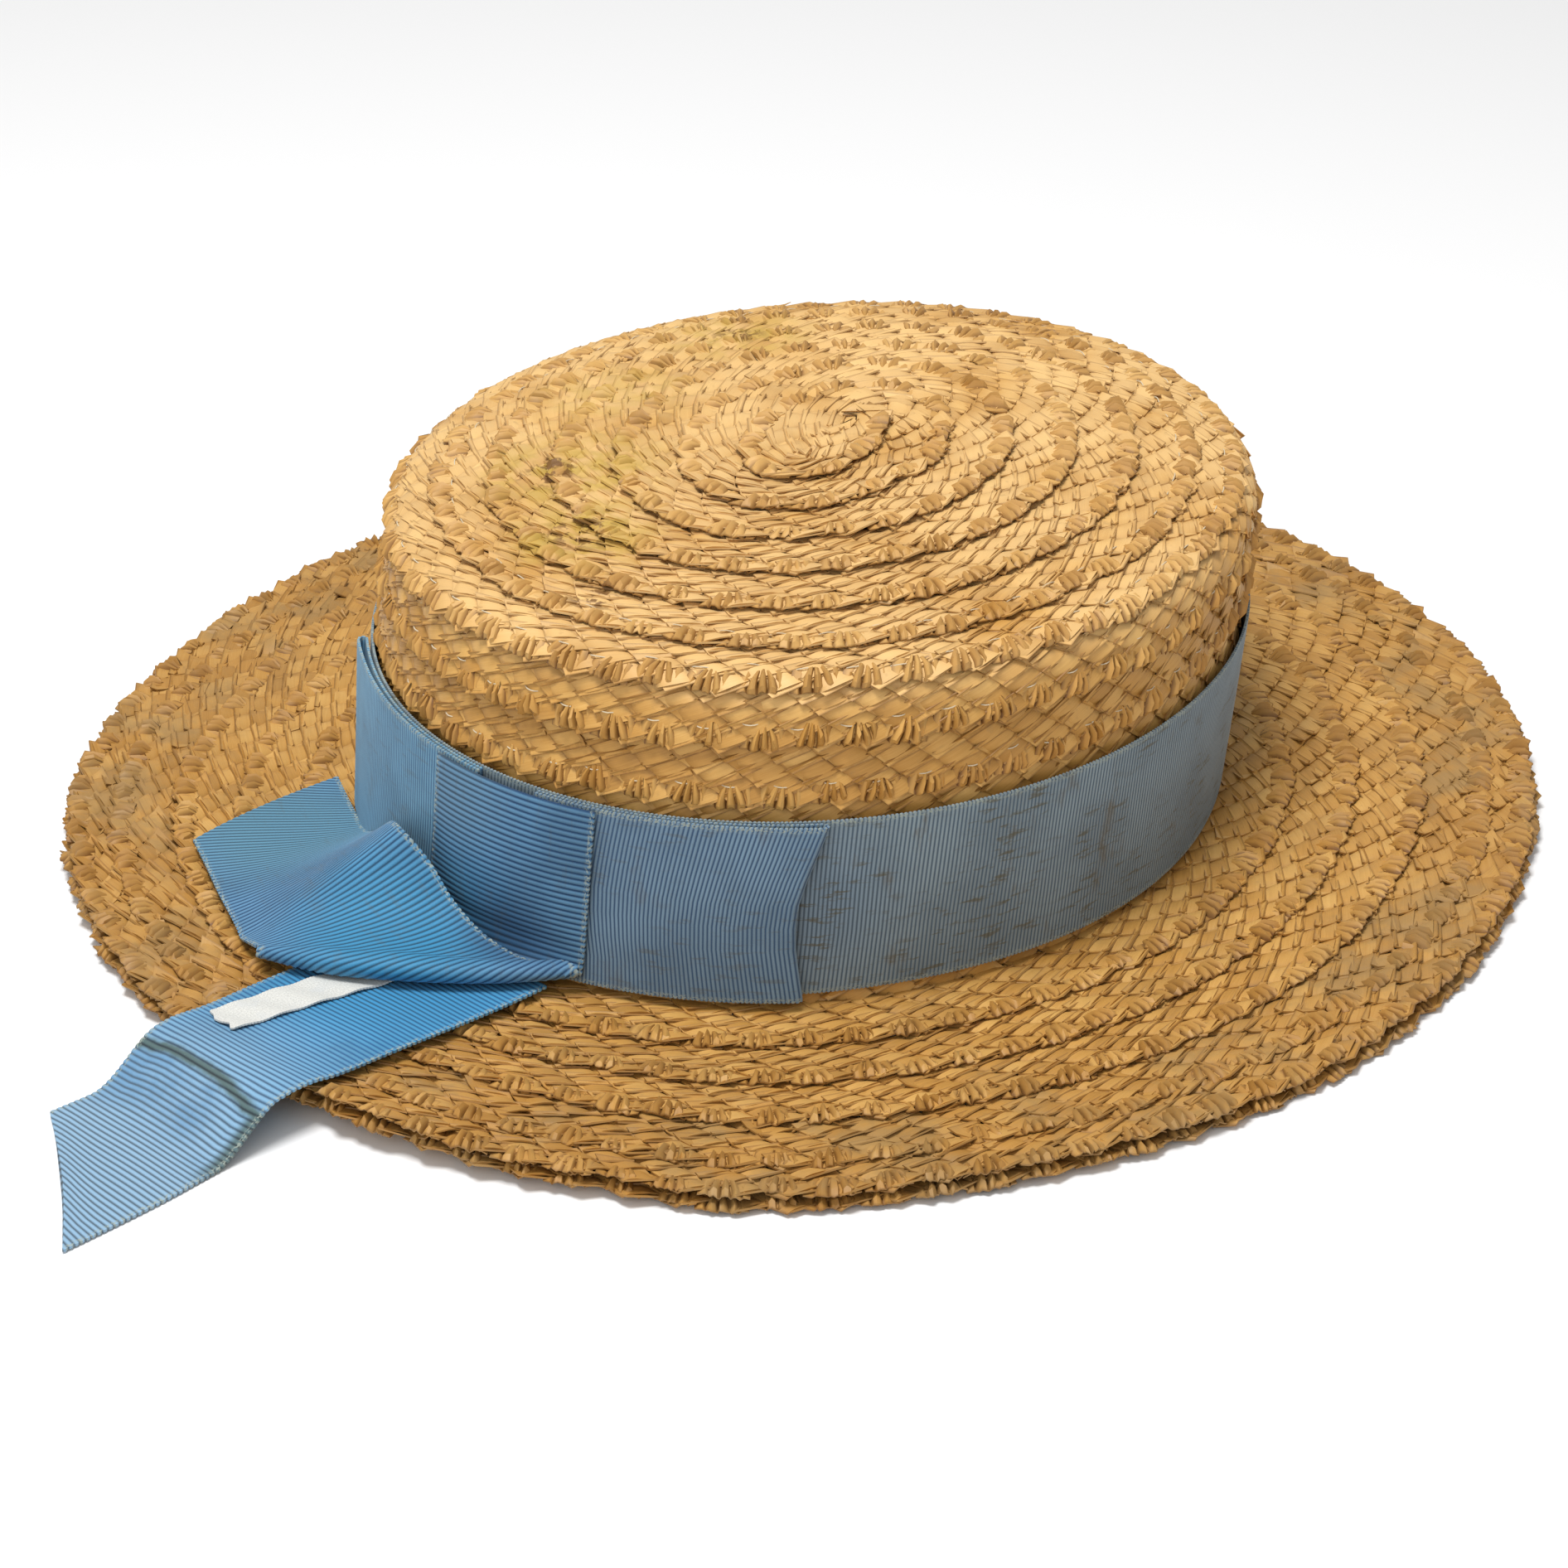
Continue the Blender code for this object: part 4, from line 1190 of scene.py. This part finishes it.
TIP_FROM, TIP_TO = -0.45, 5.2  # turns of the spiral
SHOULDER_TO, FOOT_TO = 8.35, 12.6
STITCHED_FROM = 4.6
EDGE_WORN = 1.5  # how much more the outer rows are loosened
tip = add_crown("crown_tip_braid", TIP_FROM, TIP_TO, 6, True)
shoulder = add_crown("crown_wall_braid", TIP_TO, SHOULDER_TO, 6, True)
hidden = add_crown("crown_foot_braid", SHOULDER_TO, FOOT_TO, 5, False)
inner_rows = [brim_ring(*row) for row in BRIM_ROWS[:3]]
outer_rows = [brim_ring(*row, worn=EDGE_WORN) for row in BRIM_ROWS[3:]]
brim_inner = add_piece("brim_inner_braid", joined(inner_rows), straw_brim, "straw_brim")
brim_outer = add_piece("brim_outer_braid", joined(outer_rows), straw_edge, "straw_brim")
under = brim_ring(*EDGE_ROW, worn=EDGE_WORN)
edge_row = add_piece("brim_edge_braid", under, straw_edge, "brim_edge_row")
sewing = crown_rows(STITCHED_FROM, SHOULDER_TO, 0, False)
stitches = add_piece("crown_stitches", sewing, thread_cloth)
beginning = add_piece("crown_start_braid", start_strip(), straw_crown, "straw_crown")
for piece in (tip, shoulder, hidden, brim_inner, brim_outer, edge_row, stitches, beginning):
    print(piece.name, sum(len(face.vertices) - 2 for face in piece.data.polygons), "triangles")

# %% [markdown]
# ## Ribbed ribbon
# The ribs are geometry, and the material colours them: faded on the ridges, with a painted sheen
# there, and deeper in the grooves, with painted shade there, with fine threads across and small pale
# loops at the selvedge. The UV counts the ribs, so a sine of it finds ridge and groove on every fold.
# The ribbon faded only where light reached it, so each piece has patches of other blues, and the long
# tail has a tide mark, a curve over its width. One dark patch on the knot is painted shade, in the
# hollow under the flap.

# %% Ribbon
def tint(red, green, blue):
    """A display colour from 0 to 255 as a linear colour."""
    return tuple(((c / 255 + 0.055) / 1.055) ** 2.4 if c > 10 else c / 3294.6 for c in (red, green, blue))


TIDE_MARK = (7.5, -9.0, 57.4)  # ribs from the tail's start, as a curve over its width
TIDE_COLOUR = (60, 74, 48)
TIDE_PALE = (92, 138, 176)
DUST = (92, 84, 66)
STREAK = (84, 80, 60)
# the groove shares also carry painted shade in the grooves
RIDGE_SHADE, PATCH_GROOVE, TIDE_GROOVE = 0.84, 0.55, 0.45  # darker shares of a colour


def darker(colour, share):
    return tuple(c * share for c in colour)


def ribbon(name, ridge, groove, patches=(), dirt=0.25, selvedge=(150, 160, 150), tide=None):
    """Ribbed cloth: faded on the ribs and darker in the grooves, with painted sheen on the ribs and
    painted shade in the grooves. Patches are a place, a size in mm, a colour and a strength."""
    made, wires, shader = new_material(name)
    place = wires.place()
    flat = wires.uv("flat")
    ribs, width = flat.axis(0), flat.axis(1)
    wave_up = wires.maths("SINE", ribs * math.pi).absolute()
    threads = wires.noise(wires.stretch(flat, (3.0, 260.0, 1)), 1.0, 2.0, 0.6)
    clouds = wires.noise(place, 45.0, 4.0, 0.6)
    ridge_colour = clouds.between(0.30, 0.72).mix(tint(*ridge), tint(*darker(ridge, RIDGE_SHADE)))
    groove_colour = tint(*groove)
    for centre, size, colour, strength in patches:
        mask = blob(wires, place, centre, size) * strength
        ridge_colour = mask.mix(ridge_colour, tint(*colour))
        # each fold of the fan: its stand from the middle in mm, how far it is raised in shares of FAN_RISE,
        # and its painted shade, darkest in the grooves
        groove_colour = mask.mix(groove_colour, tint(*darker(colour, PATCH_GROOVE)))
    if tide:
        past = ribs - (width * width * tide[0] + width * tide[1] + tide[2])
        past = past + wires.noise(place, 260.0, 3.0, 0.6) * 1.6 - 0.8
        line = (1 - past.absolute().between(0.3, 1.7)) * 0.8
        after = past.between(0.0, 2.0) * (1 - past.between(4.0, 17.0)) * clouds.between(0.36, 0.60) * 0.8
        rim = past.between(-1.0, 1.0) * (1 - past.between(8.0, 15.0)) * (1 - width.between(0.03, 0.10))
        ridge_colour = after.mix(ridge_colour, tint(*TIDE_PALE))
        line = wires.maths("MAXIMUM", line, rim * 0.75)
        ridge_colour = line.mix(ridge_colour, tint(*TIDE_COLOUR))
        groove_colour = line.mix(groove_colour, tint(*darker(TIDE_COLOUR, TIDE_GROOVE)))
    # painted sheen on the ridges and painted shade in the grooves, over the cloth's faded ridges and deeper
    # grooves
    fade_sheen_and_shade = wave_up * 0.85 + threads * 0.3 - 0.08
    colour = fade_sheen_and_shade.between(0.15, 0.95).mix(groove_colour, ridge_colour)
    brown = wires.noise(wires.stretch(place, (1, 1, 0.45)), 95.0, 5.0, 0.7).between(0.56, 0.74) * dirt
    colour = brown.mix(colour, tint(*DUST))
    streaks = wires.noise(wires.stretch(flat, (0.12, 26.0, 1)), 1.0, 4.0, 0.65).between(0.53, 0.66)
    colour = (streaks * clouds.between(0.38, 0.56) * dirt).mix(colour, tint(*STREAK))
    edge = (width - 0.5).absolute().between(0.468, 0.492)
    picots = wires.noise(wires.stretch(flat, (2.0, 90.0, 1)), 1.0, 1.0, 0.5).between(0.46, 0.60)
    colour = (edge * picots * 0.75).mix(colour, tint(*selvedge))
    feed(shader, "Base Color", colour)
    feed(shader, "Roughness", 0.72 - wave_up * 0.14)
    relief = {"Height": threads * 0.7 + wave_up * 0.3, "Strength": 0.5, "Distance": 0.08 * MM}
    bump = wires.node("ShaderNodeBump", relief)
    feed(shader, "Normal", bump)
    shader.inputs["Specular IOR Level"].default_value = 0.35
    shader.inputs["Sheen Weight"].default_value = 0.08
    return made


band_cloth = ribbon(
    "band_ribbon", (134, 152, 162), (66, 88, 106), dirt=0.75,
    patches=(((-45.0, 60.0, 24.0), 26, (112, 140, 166), 0.5),),
)
right_cloth = ribbon("loop_ribbon_right", (118, 148, 172), (46, 76, 108), dirt=0.35)
left_cloth = ribbon("loop_ribbon_left", (120, 171, 200), (54, 96, 132), dirt=0.25)
knot_cloth = ribbon(
    "knot_ribbon", (92, 140, 176), (24, 60, 96), dirt=0.15,
    patches=(
        ((34.0, 84.0, 10.0), 30, (44, 134, 178), 0.85),
        ((80.0, 50.0, 5.0), 34, (90, 140, 164), 0.9),
        ((28.0, 62.0, 38.0), 20, (96, 138, 168), 0.8),
        # painted shade: a dark patch in the hollow under the flap
        ((14.0, 67.0, 9.0), 17, (30, 66, 104), 0.75),
    ),
)
tail_cloth = ribbon(
    "tail_ribbon", (74, 152, 196), (26, 86, 134), dirt=0.06,
    patches=(
        ((50.0, 164.0, 2.0), 66, (136, 171, 198), 1.0),
        ((30.0, 90.0, 5.0), 30, (56, 142, 192), 0.9),
    ),
    tide=TIDE_MARK,
)
print("nodes in the tail's ribbon:", len(tail_cloth.node_tree.nodes))


# %% [markdown]
# ## Cotton tape
# The tape is soft white cotton with a fine weave. Noise stretched along the tape's own UV gives the
# threads, and a little cloud noise on the frame's coordinates gives it a worn, uneven white.

# %% Cotton
def cotton(name):
    made, wires, shader = new_material(name)
    flat = wires.uv("flat")
    place = wires.place()
    threads = wires.noise(wires.stretch(flat, (2.2, 26.0, 1)), 1.0, 2.0, 0.6)
    colour = threads.between(0.2, 0.8).mix(tint(182, 182, 177), tint(218, 218, 212))
    colour = (wires.noise(place, 190.0, 3.0).between(0.55, 0.75) * 0.3).mix(colour, tint(188, 192, 196))
    feed(shader, "Base Color", colour)
    shader.inputs["Roughness"].default_value = 0.85
    bump = wires.node("ShaderNodeBump", {"Height": threads, "Strength": 0.4, "Distance": 0.1 * MM})
    feed(shader, "Normal", bump)
    return made


tape_cloth = cotton("tape")
print("nodes in the cotton:", len(tape_cloth.node_tree.nodes))

# %% Ribbon pieces
band = add_piece("band_cloth", band_mesh, band_cloth, "hat_band", 60)
loop_right = add_piece(
    "loop_right_cloth", right_mesh, right_cloth, "bow_loop_right", 60,
)
loop_left = add_piece(
    "loop_left_cloth", left_mesh, left_cloth, "bow_loop_left", 60,
)
knot = add_piece("knot_cloth", knot_mesh, knot_cloth, "knot_ribbon", 60)
long_tail = add_piece("tail_cloth", long_mesh, tail_cloth, "long_tail", 60)
tape = add_piece("tape_cloth", tape_mesh, tape_cloth, "name_tape", 60)
for piece in (band, loop_right, loop_left, knot, long_tail, tape):
    print(piece.name, len(piece.data.polygons), "faces")

# %% [markdown]
# ## Camera
# The camera stands where a fit to the ovals of brim, crown and band puts it: behind the hat and to
# its left, 29 degrees up.

# %% Camera
LENS = 93.34
SENSOR = 36.0
SHIFT_X, SHIFT_Y = -0.0076, -0.0065
EYE = Vector((-0.34225, 0.64567, 0.41400))
EYE_BACK = Vector((-0.4008, 0.7808, 0.4793))
camera_data = bpy.data.cameras.new("camera")
camera = bpy.data.objects.new("camera", camera_data)
bpy.context.scene.collection.objects.link(camera)
camera.location = EYE
camera.rotation_mode = "QUATERNION"
camera.rotation_quaternion = (-EYE_BACK).to_track_quat("-Z", "Y")
camera_data.sensor_width = SENSOR
camera_data.lens = LENS
camera_data.shift_x = SHIFT_X
camera_data.shift_y = SHIFT_Y
camera_data.dof.use_dof = False
bpy.context.scene.camera = camera
print("camera is", round(EYE.length, 2), "m from the frame's origin")


# %% [markdown]
# ## Light
# The photograph has soft studio light, with a faint shadow under the brim. A wide disk high over
# the hat's back makes that shadow, a weaker one behind the camera opens up the band, and a white
# world fills the rest.

# %% Light
WORLD_STRENGTH = 0.52


def area_light(name, place, size, power, aim=(0.0, 0.0, 0.04)):
    data = bpy.data.lights.new(name, "AREA")
    data.shape = "DISK"
    data.size = size
    data.energy = power
    lamp = bpy.data.objects.new(name, data)
    bpy.context.scene.collection.objects.link(lamp)
    lamp.location = place
    lamp.rotation_mode = "QUATERNION"
    lamp.rotation_quaternion = (Vector(aim) - Vector(place)).to_track_quat("-Z", "Y")
    return lamp


area_light("key", (0.03, 0.26, 1.2), 0.5, 13.0)
area_light("fill", (-0.2, 1.2, 0.8), 0.9, 4.0)
world = bpy.data.worlds.new("studio")
world.use_nodes = True
world.node_tree.nodes["Background"].inputs["Color"].default_value = (1.0, 1.0, 1.0, 1.0)
world.node_tree.nodes["Background"].inputs["Strength"].default_value = WORLD_STRENGTH
bpy.context.scene.world = world
bpy.context.scene.view_settings.view_transform = "Standard"
print("lights:", len(bpy.data.lights))

# %% [markdown]
# ## Floor
# The hat lies on a plain pale surface, large enough for the picture to show no edge of it. It is
# part of the stage and not of the hat.

# %% Floor
floor_data = bpy.data.meshes.new("floor")
bm = bmesh.new()
bmesh.ops.create_grid(bm, x_segments=1, y_segments=1, size=4.0)
bm.to_mesh(floor_data)
bm.free()
floor = bpy.data.objects.new("floor", floor_data)
bpy.context.scene.collection.objects.link(floor)
pale, _, pale_shader = new_material("pale_floor")
pale_shader.inputs["Base Color"].default_value = (0.86, 0.86, 0.86, 1.0)
pale_shader.inputs["Roughness"].default_value = 0.9
floor_data.materials.append(pale)
